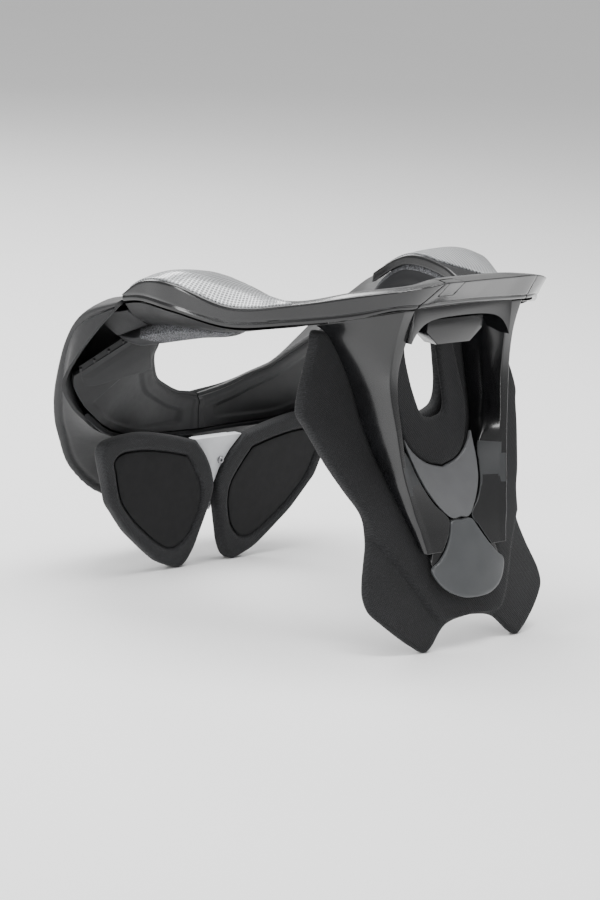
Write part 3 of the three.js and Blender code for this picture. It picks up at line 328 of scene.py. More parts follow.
class Field:
    """A value in a material's nodes. Sums and products of it add Math nodes."""

    def __init__(self, finish, socket):
        self.finish = finish
        self.socket = socket

    def math(self, operation, other=0.0, turned=False):
        values = (other, self) if turned else (self, other)
        node = self.finish.node("ShaderNodeMath", {"operation": operation}, values)
        return Field(self.finish, node.outputs[0])

    def __add__(self, other):
        return self.math("ADD", other)

    def __radd__(self, other):
        return self.math("ADD", other, True)

    def __sub__(self, other):
        return self.math("SUBTRACT", other)

    def __rsub__(self, other):
        return self.math("SUBTRACT", other, True)

    def __mul__(self, other):
        return self.math("MULTIPLY", other)

    def __rmul__(self, other):
        return self.math("MULTIPLY", other, True)

    def sine(self):
        return self.math("SINE")

    def size(self):
        return self.math("ABSOLUTE")

    def smooth(self, low, high):
        node = self.finish.node(
            "ShaderNodeMapRange",
            {"interpolation_type": "SMOOTHSTEP"},
            {"Value": self, "From Min": low, "From Max": high},
        )
        return Field(self.finish, node.outputs[0])


class Finish:
    """A procedural material, with one method that adds its nodes."""

    def __init__(self, name, roughness, coat=0.0, metallic=0.0, sheen=0.0, specular=0.5):
        self.material = bpy.data.materials.new(name)
        self.material.use_nodes = True
        self.tree = self.material.node_tree
        self.shader = self.tree.nodes["Principled BSDF"]
        constants = {
            "Roughness": roughness, "Coat Weight": coat, "Coat Roughness": 0.08,
            "Metallic": metallic, "Sheen Weight": sheen, "Sheen Roughness": 0.5,
            "Specular IOR Level": specular,
        }
        for socket, value in constants.items():
            self.shader.inputs[socket].default_value = value
        self.object = self.node("ShaderNodeTexCoord").outputs["Object"]
        self.weave = self.node("ShaderNodeUVMap").outputs["UV"]

    def feed(self, socket, value):
        if isinstance(value, Field):
            value = value.socket
        if isinstance(value, bpy.types.NodeSocket):
            self.tree.links.new(value, socket)
        elif hasattr(value, "__len__") and socket.type == "RGBA" and len(value) == 3:
            socket.default_value = (*value, 1)
        else:
            socket.default_value = value

    def node(self, kind, settings=None, values=()):
        node = self.tree.nodes.new(kind)
        for key, value in (settings or {}).items():
            setattr(node, key, value)
        pairs = values.items() if isinstance(values, dict) else enumerate(values)
        for key, value in pairs:
            self.feed(node.inputs[key], value)
        return node

    def noise(self, scale, detail):
        values = {"Vector": self.object, "Scale": scale, "Detail": detail}
        return Field(self, self.node("ShaderNodeTexNoise", None, values).outputs[0])

    def cells(self, scale):
        values = {"Vector": self.object, "Scale": scale}
        return Field(self, self.node("ShaderNodeTexVoronoi", None, values).outputs["Distance"])

    def axes(self, vector):
        node = self.node("ShaderNodeSeparateXYZ", None, {"Vector": vector})
        return [Field(self, out) for out in node.outputs]

    def blend(self, share, first, second):
        node = self.node("ShaderNodeMix", {"data_type": "RGBA"}, {"Factor": share})
        self.feed(node.inputs[6], first)
        self.feed(node.inputs[7], second)
        return node.outputs[2]

    def bump(self, height, distance, strength=1.0):
        values = {"Height": height, "Distance": distance, "Strength": strength}
        node = self.node("ShaderNodeBump", None, values)
        self.feed(self.shader.inputs["Normal"], node.outputs[0])

    def colour(self, value):
        self.feed(self.shader.inputs["Base Color"], value)

    def rough(self, value):
        self.feed(self.shader.inputs["Roughness"], value)


def shade(colour, factor):
    return tuple(min(1, c * factor) for c in colour)


def gloss_finish(colour):
    f = Finish("gloss_black", 0.2, coat=0.2)
    cloud = f.noise(35, 3)
    f.colour(f.blend(cloud.smooth(0.3, 0.7), colour, shade(colour, 1.8)))
    f.rough(0.17 + 0.1 * f.noise(140, 3))
    f.bump(f.noise(900, 2), 0.00002, 0.4)
    return f.material


def satin_finish(name, colour, roughness=0.52, grain=1.0, specular=0.4):
    f = Finish(name, roughness, specular=specular)
    cloud = f.noise(60, 3)
    f.colour(f.blend(cloud.smooth(0.3, 0.7), shade(colour, 0.94), shade(colour, 1.07)))
    f.rough(roughness - 0.05 + 0.12 * f.noise(220, 2))
    pebble = f.cells(1500)
    f.bump(pebble + 0.5 * f.noise(2600, 2), 0.00006 * grain, 0.7)
    return f.material


def silver_finish(colour):
    """Woven sheet: rows of small dimples set in a brick order, seen through a clear skin."""
    f = Finish("silver_weave", 0.32, coat=0.5, metallic=0.55)
    u, v = f.axes(f.weave)[:2]
    across = (u * (2 * math.pi / 0.0042)).sine()
    along = (v * (2 * math.pi / 0.0036)).sine()
    dimple = (across * along).size()
    pit = dimple.smooth(0.15, 0.75)
    tone = f.noise(25, 3)
    base = f.blend(tone.smooth(0.3, 0.7), shade(colour, 0.8), shade(colour, 1.15))
    f.colour(f.blend(pit * 0.85, base, shade(colour, 0.16)))
    f.rough(0.3 + 0.25 * pit)
    f.bump(1 - pit, 0.0002, 0.8)
    return f.material


def foam_finish(colour, name="foam_weave", pitch=0.0017, depth=0.00025):
    """Fine knit over closed-cell foam."""
    f = Finish(name, 0.85, sheen=0.06, specular=0.25)
    x, y, z = f.axes(f.object)
    warp = ((x + 0.35 * y) * (2 * math.pi / pitch)).sine()
    weft = ((z + 0.45 * y) * (2 * math.pi / pitch)).sine()
    knit = (warp * weft).smooth(-0.8, 0.8)
    fleck = f.noise(1400, 2).smooth(0.45, 0.75)
    broad = f.noise(30, 3)
    base = f.blend(broad.smooth(0.3, 0.7), shade(colour, 0.8), shade(colour, 1.25))
    thread = f.blend(knit, shade(colour, 0.35), base)
    f.colour(f.blend(fleck * 0.35, thread, shade(colour, 2.6)))
    f.rough(0.75 + 0.15 * knit)
    f.bump(knit + 0.4 * f.noise(900, 2), depth, 0.8)
    return f.material


def panel_finish(foam, smooth):
    """Flecked knit with a smooth panel on the face towards the neck, and a seam line."""
    f = Finish("pad_panel", 0.8, sheen=0.06, specular=0.3)
    u, v = f.axes(f.weave)[:2]
    turn = 2 * math.pi / 0.0016
    knit = ((u * turn).sine() * (v * turn).sine()).smooth(-0.8, 0.8)
    fleck = f.noise(1500, 2).smooth(0.42, 0.62)
    border = f.blend(fleck, shade(foam, 1.2), shade(foam, 9))
    inside = v.smooth(0.0058, 0.0064) * (1 - v.smooth(0.034, 0.036))
    inside = inside * u.smooth(0.006, 0.0075)
    seam = inside * (1 - inside) * 4
    tone = f.blend(inside, border, shade(smooth, 2.2))
    f.colour(f.blend(seam, tone, shade(smooth, 0.3)))
    f.rough(0.85 - 0.4 * inside)
    f.bump((knit + fleck) * (1 - inside), 0.00015, 0.8)
    return f.material


def steel_finish():
    f = Finish("steel", 0.3, metallic=1.0)
    f.colour(f.blend(f.noise(400, 2), (0.2, 0.2, 0.21), (0.35, 0.35, 0.36)))
    f.rough(0.25 + 0.2 * f.noise(900, 2))
    return f.material


FINISHES = {}


def finishes():
    if FINISHES:
        return FINISHES
    c = bpy.context.scene.brace_colours
    FINISHES["gloss"] = gloss_finish(tuple(c.gloss))
    FINISHES["satin"] = satin_finish("satin_black", tuple(c.satin))
    FINISHES["body"] = satin_finish("arm_black", shade(tuple(c.satin), 0.6), 0.42, 0.6)
    FINISHES["side"] = satin_finish("side_grey", shade(tuple(c.grey), 0.55), 0.42, 0.5)
    FINISHES["silver"] = silver_finish(tuple(c.silver))
    FINISHES["foam"] = foam_finish(tuple(c.foam))
    FINISHES["panel"] = panel_finish(tuple(c.foam), tuple(c.smooth))
    FINISHES["paddle"] = foam_finish(shade(tuple(c.foam), 1.15), "paddle_skin", 0.0015, 0.00008)
    FINISHES["smooth"] = satin_finish("smooth_pad", tuple(c.smooth), 0.62, 0.7, 0.22)
    FINISHES["light"] = satin_finish("light_grey", tuple(c.light), 0.38, 0.4)
    FINISHES["grey"] = satin_finish("mid_grey", tuple(c.grey), 0.32, 0.4)
    FINISHES["white"] = satin_finish("white_plastic", tuple(c.white), 0.45, 0.6)
    FINISHES["steel"] = steel_finish()
    return FINISHES


# Curves and sections


def row_count(table):
    return len(next(iter(table.values())))


def row_at(table, place):
    """Smooth curve through a table's columns, at a place counted in rows."""
    count = row_count(table)
    index = min(max(math.floor(place), 0), count - 2)
    t = place - index
    row = {}
    for name, column in table.items():
        a, b, c, d = (column[min(max(index + k, 0), count - 1)] for k in (-1, 0, 1, 2))
        bend = 2 * a - 5 * b + 4 * c - d
        twist = 3 * b - a - 3 * c + d
        row[name] = b + (t * (c - a) + t * t * bend + t * t * t * twist) / 2
    return row


def rows_between(table, start, end, steps=SECTION_STEPS):
    count = max(1, round(abs(end - start) * steps))
    return [row_at(table, start + (end - start) * i / count) for i in range(count + 1)]


def all_rows(table, steps=SECTION_STEPS):
    return rows_between(table, 0, row_count(table) - 1, steps)


def turned_row(row):
    return {k: -v if k.endswith("X") else v for k, v in row.items()}


def both_sides(rows):
    """Rows from the middle outwards, carried over to the other side first."""
    return [turned_row(row) for row in reversed(rows[1:])] + rows


def point(row, name):
    s = bpy.context.scene.brace_sizes
    return Vector((
        row[name + "X"] * s.ring_half_width,
        row[name + "Y"] * s.ring_depth,
        row[name + "Z"] * s.top_height,
    ))


def soft_corner(before, corner, after, radius, steps):
    """Points of the small curve that takes the place of a corner."""
    start = corner.lerp(before, min(0.48, radius / max(1e-6, (corner - before).length)))
    end = corner.lerp(after, min(0.48, radius / max(1e-6, (corner - after).length)))
    arc = []
    for i in range(steps + 1):
        t = i / steps
        arc.append(start.lerp(corner, t).lerp(corner.lerp(end, t), t))
    return arc


def softened(chain, radii, steps=5):
    result = [chain[0]]
    for i, radius in enumerate(radii, 1):
        result += soft_corner(chain[i - 1], chain[i], chain[i + 1], radius, steps)
    return result + [chain[-1]]


def softened_loop(loop, radii, steps=5):
    result = []
    for i, radius in enumerate(radii):
        result += soft_corner(loop[i - 1], loop[i], loop[(i + 1) % len(loop)], radius, steps)
    return result


def wall_inside(chain, wall, across, up):
    """The chain moved to its right hand by the wall, in the plane of two directions."""
    flat = [Vector((p.dot(across), p.dot(up))) for p in chain]
    inside = []
    for i, p in enumerate(chain):
        normals = []
        for k in (i - 1, i):
            if 0 <= k < len(chain) - 1:
                step = (flat[k + 1] - flat[k]).normalized()
                normals.append(Vector((step.y, -step.x)))
        n, m = normals[0], normals[-1]
        a, b = wall * (n + m) / max(0.6, 1 + n.dot(m))
        inside.append(p + across * a + up * b)
    return inside


def resampled(run, count):
    """The run as evenly spaced points, and their distances from its start."""
    lengths = np.cumsum([0] + [(b - a).length for a, b in zip(run, run[1:])])
    spots = np.linspace(0, lengths[-1], count)
    columns = [np.interp(spots, lengths, [p[k] for p in run]) for k in range(3)]
    return [Vector(p) for p in zip(*columns)], spots


def relief_loop(chain, radii, wall, way, depth):
    """A closed section: the softened chain, sunk by depth at each distance, and its inner wall."""
    inner = wall_inside(chain, wall, way, Z_AXIS)
    inner_radii = [max(0.3 * MM, r * 0.7) for r in radii]
    outer_run, spots = resampled(softened(chain, radii), RELIEF_POINTS)
    inner_run = resampled(softened(inner, inner_radii), RELIEF_POINTS)[0]
    face = []
    for i, p in enumerate(outer_run):
        step = outer_run[min(i + 1, RELIEF_POINTS - 1)] - outer_run[max(i - 1, 0)]
        flat = Vector((step.dot(way), step.z)).normalized()
        sink = depth(spots[i], spots[-1])
        face.append(p + (way * flat.y - Z_AXIS * flat.x) * sink)
    return face + inner_run[::-1]


def groove(distance, middle, width):
    return math.exp(-((distance - middle) / width) ** 2)


def level_way(start, end):
    return Vector((end.x - start.x, end.y - start.y, 0)).normalized()


# Meshes


def new_mesh(name, points, faces, uv=None):
    mesh = bpy.data.meshes.new(name)
    mesh.from_pydata([tuple(p) for p in points], [], faces)
    if uv:
        layer = mesh.uv_layers.new(name="UVMap")
        for loop in mesh.loops:
            layer.data[loop.index].uv = uv[loop.vertex_index]
    bm = bmesh.new()
    bm.from_mesh(mesh)
    bmesh.ops.remove_doubles(bm, verts=bm.verts, dist=1e-6)
    bmesh.ops.dissolve_degenerate(bm, edges=bm.edges, dist=1e-6)
    bmesh.ops.recalc_face_normals(bm, faces=bm.faces)
    bm.to_mesh(mesh)
    bm.free()
    return mesh


def new_object(name, mesh, finish):
    mesh.materials.append(finishes()[finish])
    obj = bpy.data.objects.new(name, mesh)
    bpy.context.scene.collection.objects.link(obj)
    return obj


def loft_parts(sections):
    """Points, faces and lengthwise measures of a skin over closed sections."""
    size = len(sections[0])
    points = [p for section in sections for p in section]
    faces = []
    for s in range(len(sections) - 1):
        for i in range(size):
            j = (i + 1) % size
            faces.append((s * size + i, s * size + j, (s + 1) * size + j, (s + 1) * size + i))
    last = (len(sections) - 1) * size
    for i in range(size // 2 - 1):
        faces.append((i, size - 1 - i, size - 2 - i, i + 1))
        faces.append((last + i, last + i + 1, last + size - 2 - i, last + size - 1 - i))
    uv = []
    run = 0.0
    middle = None
    for section in sections:
        centre = sum(section, Vector()) / size
        run += (centre - middle).length if middle else 0.0
        middle = centre
        around = 0.0
        for i, p in enumerate(section):
            around += (p - section[i - 1]).length if i else 0.0
            uv.append((run, around))
    return points, faces, uv


def loft(name, sections, finish):
    points, faces, uv = loft_parts(sections)
    return new_object(name, new_mesh(name, points, faces, uv), finish)


def mirrored(obj, name):
    copy = obj.copy()
    copy.data = obj.data.copy()
    copy.name = name
    copy.data.name = name
    bpy.context.scene.collection.objects.link(copy)
    copy.data.transform(Matrix.Scale(-1, 4, Vector((1, 0, 0))))
    copy.data.flip_normals()
    return copy


def join(objects, name):
    """One object from several meshes, with their materials kept."""
    target = objects[0]
    with bpy.context.temp_override(
        active_object=target, object=target, selected_objects=objects,
        selected_editable_objects=objects,
    ):
        bpy.ops.object.join()
    target.name = name
    target.data.name = name
    return target


def bevelled(obj, width, angle=50, segments=2):
    bevel = obj.modifiers.new("edges", "BEVEL")
    bevel.width = width
    bevel.segments = segments
    bevel.limit_method = "ANGLE"
    bevel.angle_limit = math.radians(angle)
    bevel.harden_normals = False
    return baked(obj)


def baked(obj):
    """Applies the object's modifiers to its mesh."""
    depsgraph = bpy.context.evaluated_depsgraph_get()
    bpy.context.view_layer.update()
    mesh = bpy.data.meshes.new_from_object(obj.evaluated_get(depsgraph))
    obj.modifiers.clear()
    old = obj.data
    obj.data = mesh
    mesh.name = obj.name
    if old.users == 0:
        bpy.data.meshes.remove(old)
    return obj


def cut(obj, tool, operation="DIFFERENCE"):
    change = obj.modifiers.new("cut", "BOOLEAN")
    change.operation = operation
    change.object = tool
    change.solver = "EXACT"
    baked(obj)
    return obj


def settle(obj, body, node, smooth=35):
    """Places a finished piece, shades it, ties it to its body and hides its CAD node's part."""
    obj.data.transform(Matrix.Translation(PLACE))
    for polygon in obj.data.polygons:
        polygon.use_smooth = True
    obj.data.set_sharp_from_angle(angle=math.radians(smooth))
    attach(obj, body)
    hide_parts(node)


def side_pair(obj, name, bodies, smooth=35):
    """Settles a left piece and its mirrored right twin."""
    twin = mirrored(obj, name + "_right_look")
    obj.name = name + "_left_look"
    settle(obj, bodies[0], name + "_left", smooth=smooth)
    settle(twin, bodies[1], name + "_right", smooth=smooth)


# Plates seen from the front


def face_depth(face, x, z):
    """Depth of a front face, with its creases eased."""
    s = bpy.context.scene.brace_sizes
    height = np.asarray(z) / s.top_height
    rows = np.array(face)
    middle = 0.0
    bow = 0.0
    for shift in CREASE_EASE:
        middle = middle + np.interp(height + shift, rows[:, 0], rows[:, 1]) / len(CREASE_EASE)
        bow = bow + np.interp(height + shift, rows[:, 0], rows[:, 2]) / len(CREASE_EASE)
    side = np.asarray(x) / s.chest_half_width
    return s.chest_depth * (middle + bow * side * side)


def face_at(face, shift=0.0):
    """The depth of a front face, moved back, as a function of places."""
    return lambda places: face_depth(face, places[:, 0], places[:, 1]) + shift


def flat_at(depth):
    return lambda places: np.full(len(places), depth)


def curve_run(places, steps):
    table = {"x": [p[0] for p in places], "z": [p[1] for p in places]}
    return [(r["x"], r["z"]) for r in all_rows(table, steps)]


def whole_outline(places, steps=6):
    """Closed outline in metres from a half one that starts and ends on the middle plane."""
    s = bpy.context.scene.brace_sizes
    half = curve_run(places, steps)
    left = [(max(0, x) * s.chest_half_width, z * s.top_height) for x, z in half]
    right = [(-x, z) for x, z in reversed(left[1:-1])]
    return np.array(left + right)


def loop_outline(places, width, height, steps=6):
    run = curve_run((*places, places[0]), steps)[:-1]
    return np.array([(x * width, z * height) for x, z in run])


def grown(outline, distance):
    ahead = np.roll(outline, -1, axis=0)
    behind = np.roll(outline, 1, axis=0)
    area = np.sum(outline[:, 0] * ahead[:, 1] - ahead[:, 0] * outline[:, 1])
    step = ahead - behind
    length = np.maximum(np.linalg.norm(step, axis=1, keepdims=True), 1e-9)
    normal = np.stack([step[:, 1], -step[:, 0]], axis=1) / length
    return outline + np.sign(area) * distance * normal


def edge_distance(spots, outline):
    """Distance to a closed outline, positive inside it."""
    step = np.roll(outline, -1, axis=0) - outline
    nearest = np.full(len(spots), 1e9)
    inside = np.zeros(len(spots), bool)
    for (ax, az), (dx, dz) in zip(outline, step):
        length = max(dx * dx + dz * dz, 1e-18)
        t = np.clip(((spots[:, 0] - ax) * dx + (spots[:, 1] - az) * dz) / length, 0, 1)
        gap = np.hypot(spots[:, 0] - ax - t * dx, spots[:, 1] - az - t * dz)
        nearest = np.minimum(nearest, gap)
        crosses = (az > spots[:, 1]) != (az + dz > spots[:, 1])
        if abs(dz) > 1e-12:
            reach = ax + (spots[:, 1] - az) * dx / dz
            inside ^= crosses & (spots[:, 0] < reach)
    return np.where(inside, nearest, -nearest)


def smoothstep(low, high, value):
    t = np.clip((value - low) / (high - low), 0, 1)
    return t * t * (3 - 2 * t)


def plate_mesh(name, outline, front, back, edge, spacing, holes=(), lines=()):
    """A plate over an outline seen from the front, with its edges rounded."""
    rings = [outline] + [np.array(h) for h in holes]
    for share in (0.15, 0.5, 1.0):
        rings.append(grown(outline, -edge * share))
        rings += [grown(h, edge * share) for h in holes]
    rings += list(lines)
    low = outline.min(axis=0)
    high = outline.max(axis=0)
    xs = np.arange(low[0], high[0], spacing)
    zs = np.arange(low[1], high[1], spacing)
    grid = np.stack(np.meshgrid(xs, zs), axis=-1).reshape(-1, 2)
    depth = edge_distance(grid, outline)
    for hole in holes:
        depth = np.minimum(depth, -edge_distance(grid, hole))
    keep = depth > edge + spacing * 0.4
    for line in lines:
        keep &= np.abs(edge_distance(grid, line)) > spacing * 0.45
    grid = grid[keep]
    spots = []
    edges = []
    for ring in rings:
        first = len(spots)
        spots += [Vector(p) for p in ring]
        count = len(ring)
        edges += [(first + i, first + (i + 1) % count) for i in range(count)]
    spots += [Vector(p) for p in grid]
    flat, _, triangles, *_ = delaunay_2d_cdt(spots, edges, [], 0, 1e-7)
    flat = np.array([tuple(p) for p in flat])
    triangles = np.array([t for t in triangles if len(t) == 3])
    centres = flat[triangles].mean(axis=1)
    inside = edge_distance(centres, outline) > 0
    for hole in holes:
        inside &= edge_distance(centres, hole) < 0
    triangles = triangles[inside]
    depth = edge_distance(flat, outline)
    for hole in holes:
        depth = np.minimum(depth, -edge_distance(flat, hole))
    dip = edge - np.sqrt(np.maximum(0, edge ** 2 - np.clip(edge - depth, 0, edge) ** 2))
    x, z = flat[:, 0], flat[:, 1]
    near = front(flat) + dip
    far = back(flat) - dip
    points = [*zip(x, near, z), *zip(x, far, z)]
    count = len(flat)
    faces = [tuple(int(i) for i in t) for t in triangles]
    faces += [tuple(int(i) + count for i in t[::-1]) for t in triangles]
    used = {}
    for a, b, c in triangles:
        for pair in ((a, b), (b, c), (c, a)):
            key = (int(min(pair)), int(max(pair)))
            used[key] = used.get(key, 0) + 1
    for (a, b), uses in used.items():
        if uses == 1:
            faces.append((a, b, b + count, a + count))
    return new_mesh(name, points, faces)


# Bridge and decks


def deck_top(row):
    """The deck's top across a row, from its outer edge to its neck edge."""
    s = bpy.context.scene.brace_sizes
    out = point(row, "out")
    inner = point(row, "in")
    crown = out.lerp(inner, 0.3)
    crown.z = row["crown"] * s.top_height
    middle = out.lerp(inner, 0.65)
    middle.z = (2 * crown.z + 3 * inner.z) / 5 + MM
    return [out, crown, middle, inner]


def deck_section(row):
    s = bpy.context.scene.brace_sizes
    top = deck_top(row)
    inner = top[3]
    chain = [point(row, "lip"), *top, Vector((inner.x, inner.y, inner.z - 6 * MM))]
    way = level_way(top[0], inner)

    def depth(distance, whole):
        """A crease above the band's rolled low edge."""
        return MM * (
            0.6 * groove(distance, 3.2 * MM, 0.6 * MM) - 0.15 * groove(distance, 1.5 * MM, 1 * MM)
        )

    return relief_loop(chain, [1.2 * MM, 6 * MM, 6 * MM, 1.6 * MM], s.shell_wall, way, depth)


def deck_sections():
    start = CORNER_ROW + CORNER_GAP
    return [deck_section(row) for row in rows_between(DECK, start, JOINT_ROW)]


def inlay_sections():
    sections = []
    rows = rows_between(DECK, INLAY_START, INLAY_END)
    places = np.linspace(INLAY_START, INLAY_END, len(rows))
    for place, row in zip(places, rows):
        reach = np.interp(place, *zip(*INLAY_REACH))
        run = softened(deck_top(row), [6 * MM, 6 * MM], 9)
        lengths = np.cumsum([0] + [(b - a).length for a, b in zip(run, run[1:])])
        spots = lengths[-1] * np.linspace(0.04, 0.04 + 0.9 * reach, 20)
        line = [Vector([np.interp(spot, lengths, [p[k] for p in run]) for k in range(3)])
                for spot in spots]
        top = [p + Vector((0, 0, 0.9 * MM)) for p in line]
        under = [p + Vector((0, 0, -0.4 * MM)) for p in line]
        sections.append(top + under[::-1])
    return sections


def box_object(name, low, high):
    corners = [(x, y, z) for x in (low[0], high[0]) for y in (low[1], high[1])
               for z in (low[2], high[2])]
    faces = [(0, 1, 3, 2), (4, 6, 7, 5), (0, 4, 5, 1), (2, 3, 7, 6), (0, 2, 6, 4), (1, 5, 7, 3)]
    return new_object(name, new_mesh(name, corners, faces), "gloss")


class BRACE_OT_bridge(bpy.types.Operator):
    """Front cross-piece with its catch"""

    bl_idname = "brace.bridge"
    bl_label = "Bridge and catch"

    def execute(self, context):
        rows = rows_between(DECK, 0, CORNER_ROW - CORNER_GAP, 12)
        sections = [deck_section(row) for row in both_sides(rows)]
        bridge = loft("bridge_look", sections, "gloss")
        catch = bridge.copy()
        catch.data = bridge.data.copy()
        context.scene.collection.objects.link(catch)
        low_gap = Vector((CLEARANCE, 0, CLEARANCE))
        high_gap = Vector((CLEARANCE, 2 * MM, 0))
        slot = box_object("slot", CATCH_LOW - low_gap, CATCH_HIGH + high_gap)
        body = box_object("body", CATCH_LOW, CATCH_HIGH)
        cut(bridge, slot)
        cut(catch, body, "INTERSECT")
        for tool in (slot, body):
            bpy.data.objects.remove(tool)
        catch.name = "bridge_catch_look"
        bevelled(bridge, 0.4 * MM, 55)
        bevelled(catch, 0.5 * MM, 55)
        settle(bridge, "frame", "bridge")
        settle(catch, "catch", "bridge_catch")
        return {"FINISHED"}


class BRACE_OT_decks(bpy.types.Operator):
    """Top shells of the two side arms, with their woven inlays"""

    bl_idname = "brace.decks"
    bl_label = "Decks and inlays"

    def execute(self, context):
        bodies = ("frame", "gate")
        deck = bevelled(loft("deck_left_look", deck_sections(), "gloss"), 0.4 * MM, 55)
        side_pair(deck, "deck", bodies)
        inlay = bevelled(loft("deck_inlay_left_look", inlay_sections(), "silver"), 0.25 * MM, 60)
        side_pair(inlay, "deck_inlay", bodies)
        return {"FINISHED"}


def arm_section(row):
    top = point(row, "top")
    keel = point(row, "keel")
    inner = point(row, "inner")
    flank = top.lerp(keel, 0.5)
    flank.x += (top.x - keel.x) * 0.12
    flank.z -= (top.z - keel.z) * 0.1
    sole = keel.lerp(inner, 0.5)
    shelf = top.lerp(inner, 0.5)
    shelf.z = min(top.z, inner.z) - 0.5 * MM
    loop = [top, flank, keel, sole, inner, shelf]
    return softened_loop(loop, [1 * MM, 7 * MM, 3 * MM, 3 * MM, 1 * MM, 1 * MM])


def pad_section(row):
    s = bpy.context.scene.brace_sizes
    neck = point(row, "neck")
    sole = point(row, "sole")
    seat = point(row, "seat")
    head = Vector((neck.x + 5 * MM, neck.y, row["headZ"] * s.top_height - MM))
    back = head.lerp(seat, 0.5)
    cheek = neck.lerp(sole, 0.5)
    cheek.z -= MM
    loop = [head, neck, cheek, sole, seat, back]
    return softened_loop(loop, [2 * MM, 5 * MM, 6 * MM, 4 * MM, 2 * MM, 2 * MM])


def closed_ends(sections):
    """Adds smaller end sections that round a soft piece's ends."""
    steps = 4
    reach = 0.5
    result = list(sections)
    for end in (0, -1):
        section = sections[end]
        centre = sum(section, Vector()) / len(section)
        beyond = centre - sum(sections[1 if end == 0 else -2], Vector()) / len(section)
        beyond = beyond.normalized() * min(2.5 * MM, beyond.length)
        for i in range(1, steps + 1):
            angle = math.pi / 2 * i / steps
            scale = reach + (1 - reach) * math.cos(angle)
            shift = beyond * math.sin(angle)
            ring = [centre + (p - centre) * scale + shift for p in section]
            result = [ring] + result if end == 0 else result + [ring]
    return result


class BRACE_OT_arms(bpy.types.Operator):
    """Lower bodies of the side arms, with the foam pads under them"""

    bl_idname = "brace.arms"
    bl_label = "Arms and shoulder pads"

    def execute(self, context):
        bodies = ("frame", "gate")
        arm = loft("arm_left_look", [arm_section(r) for r in all_rows(ARM)], "body")
        side_pair(bevelled(arm, 0.6 * MM, 55), "arm", bodies)
        sections = [pad_section(r) for r in all_rows(SHOULDER_PAD)]
        pad = loft("shoulder_pad_left_look", closed_ends(sections), "panel")
        side_pair(pad, "shoulder_pad", bodies)
        return {"FINISHED"}


# Rear body


def outwards(row, distance):
    edge = point(row, "edge")
    rim = point(row, "rim")
    return level_way(edge, rim) * distance


def rear_section(row):
    s = bpy.context.scene.brace_sizes
    seat = outwards(row, s.collar_wall + 4.2 * MM)
    edge = point(row, "edge") + seat
    back = point(row, "back")
    rim = point(row, "rim")
    low = point(row, "low") + seat
    low.z -= 2 * MM
    shoulder = back.lerp(rim, 0.5) + outwards(row, 2 * MM)
    chain = [edge, back, shoulder, rim, rim.lerp(low, 0.5), low]
    radii = [6 * MM, 8 * MM, 2.5 * MM, 2 * MM]
    below = (low - rim).length

    def depth(distance, whole):
        """A rolled rim, with a groove between it and the panel below."""
        past = distance - (whole - below)
        return MM * (1.3 * groove(past, 6.5 * MM, 1 * MM) - 0.5 * groove(past, 2.5 * MM, 2 * MM))

    return relief_loop(chain, radii, s.shell_wall, level_way(edge, rim), depth)


def collar_point(place, share, depth):
    row = row_at(REAR, place)
    p = point(row, "edge").lerp(point(row, "low"), share) + outwards(row, depth)
    p.x = max(p.x, CLEARANCE)
    return p


def collar_depth(place, share):
    """Relief of the collar's face: a hairline, a rolled band, a sunk panel and a seam bead."""
    row = row_at(REAR, place)
    height = (point(row, "low") - point(row, "edge")).length
    down = share * height
    line = groove(down, 2 * MM, 0.45 * MM)
    band = groove(down, 5.5 * MM, 3 * MM)
    panel = smoothstep(10 * MM, 13 * MM, down)
    panel *= 1 - smoothstep(height - 7 * MM, height - 4 * MM, down)
    ends = smoothstep(2.2, 2.4, place) * (1 - smoothstep(7.3, 7.5, place))
    bead = smoothstep(7.72, 7.78, place) * smoothstep(3 * MM, 4 * MM, down)
    return float(MM * (0.5 * line - 0.9 * band + 1.5 * panel * ends - 0.5 * bead))


def collar_mesh():
    places = np.linspace(COLLAR_START, REAR_CENTRE, 180)
    shares = np.concatenate([np.linspace(0, 0.14, 24)[:-1], np.linspace(0.14, 1, 60)])
    points = []
    for place in places:
        for share in shares:
            points.append(collar_point(place, share, collar_depth(place, share)))
    rows = len(shares)
    faces = []
    for i in range(len(places) - 1):
        for j in range(rows - 1):
            a = i * rows + j
            faces.append((a, a + 1, a + rows + 1, a + rows))
    return points, faces


def window_sections():
    """Cutter for the collar's window: its top and low ends, each there and back."""
    sections = []
    for share, end in ((WINDOW["top"], WINDOW["topTo"]), (WINDOW["low"], WINDOW["lowTo"])):
        places = np.linspace(WINDOW["from"], end, 9)
        face = [collar_point(place, share, -6 * MM) for place in places]
        back = [collar_point(place, share, 9 * MM) for place in places]
        sections.append(face + back[::-1])
    return sections


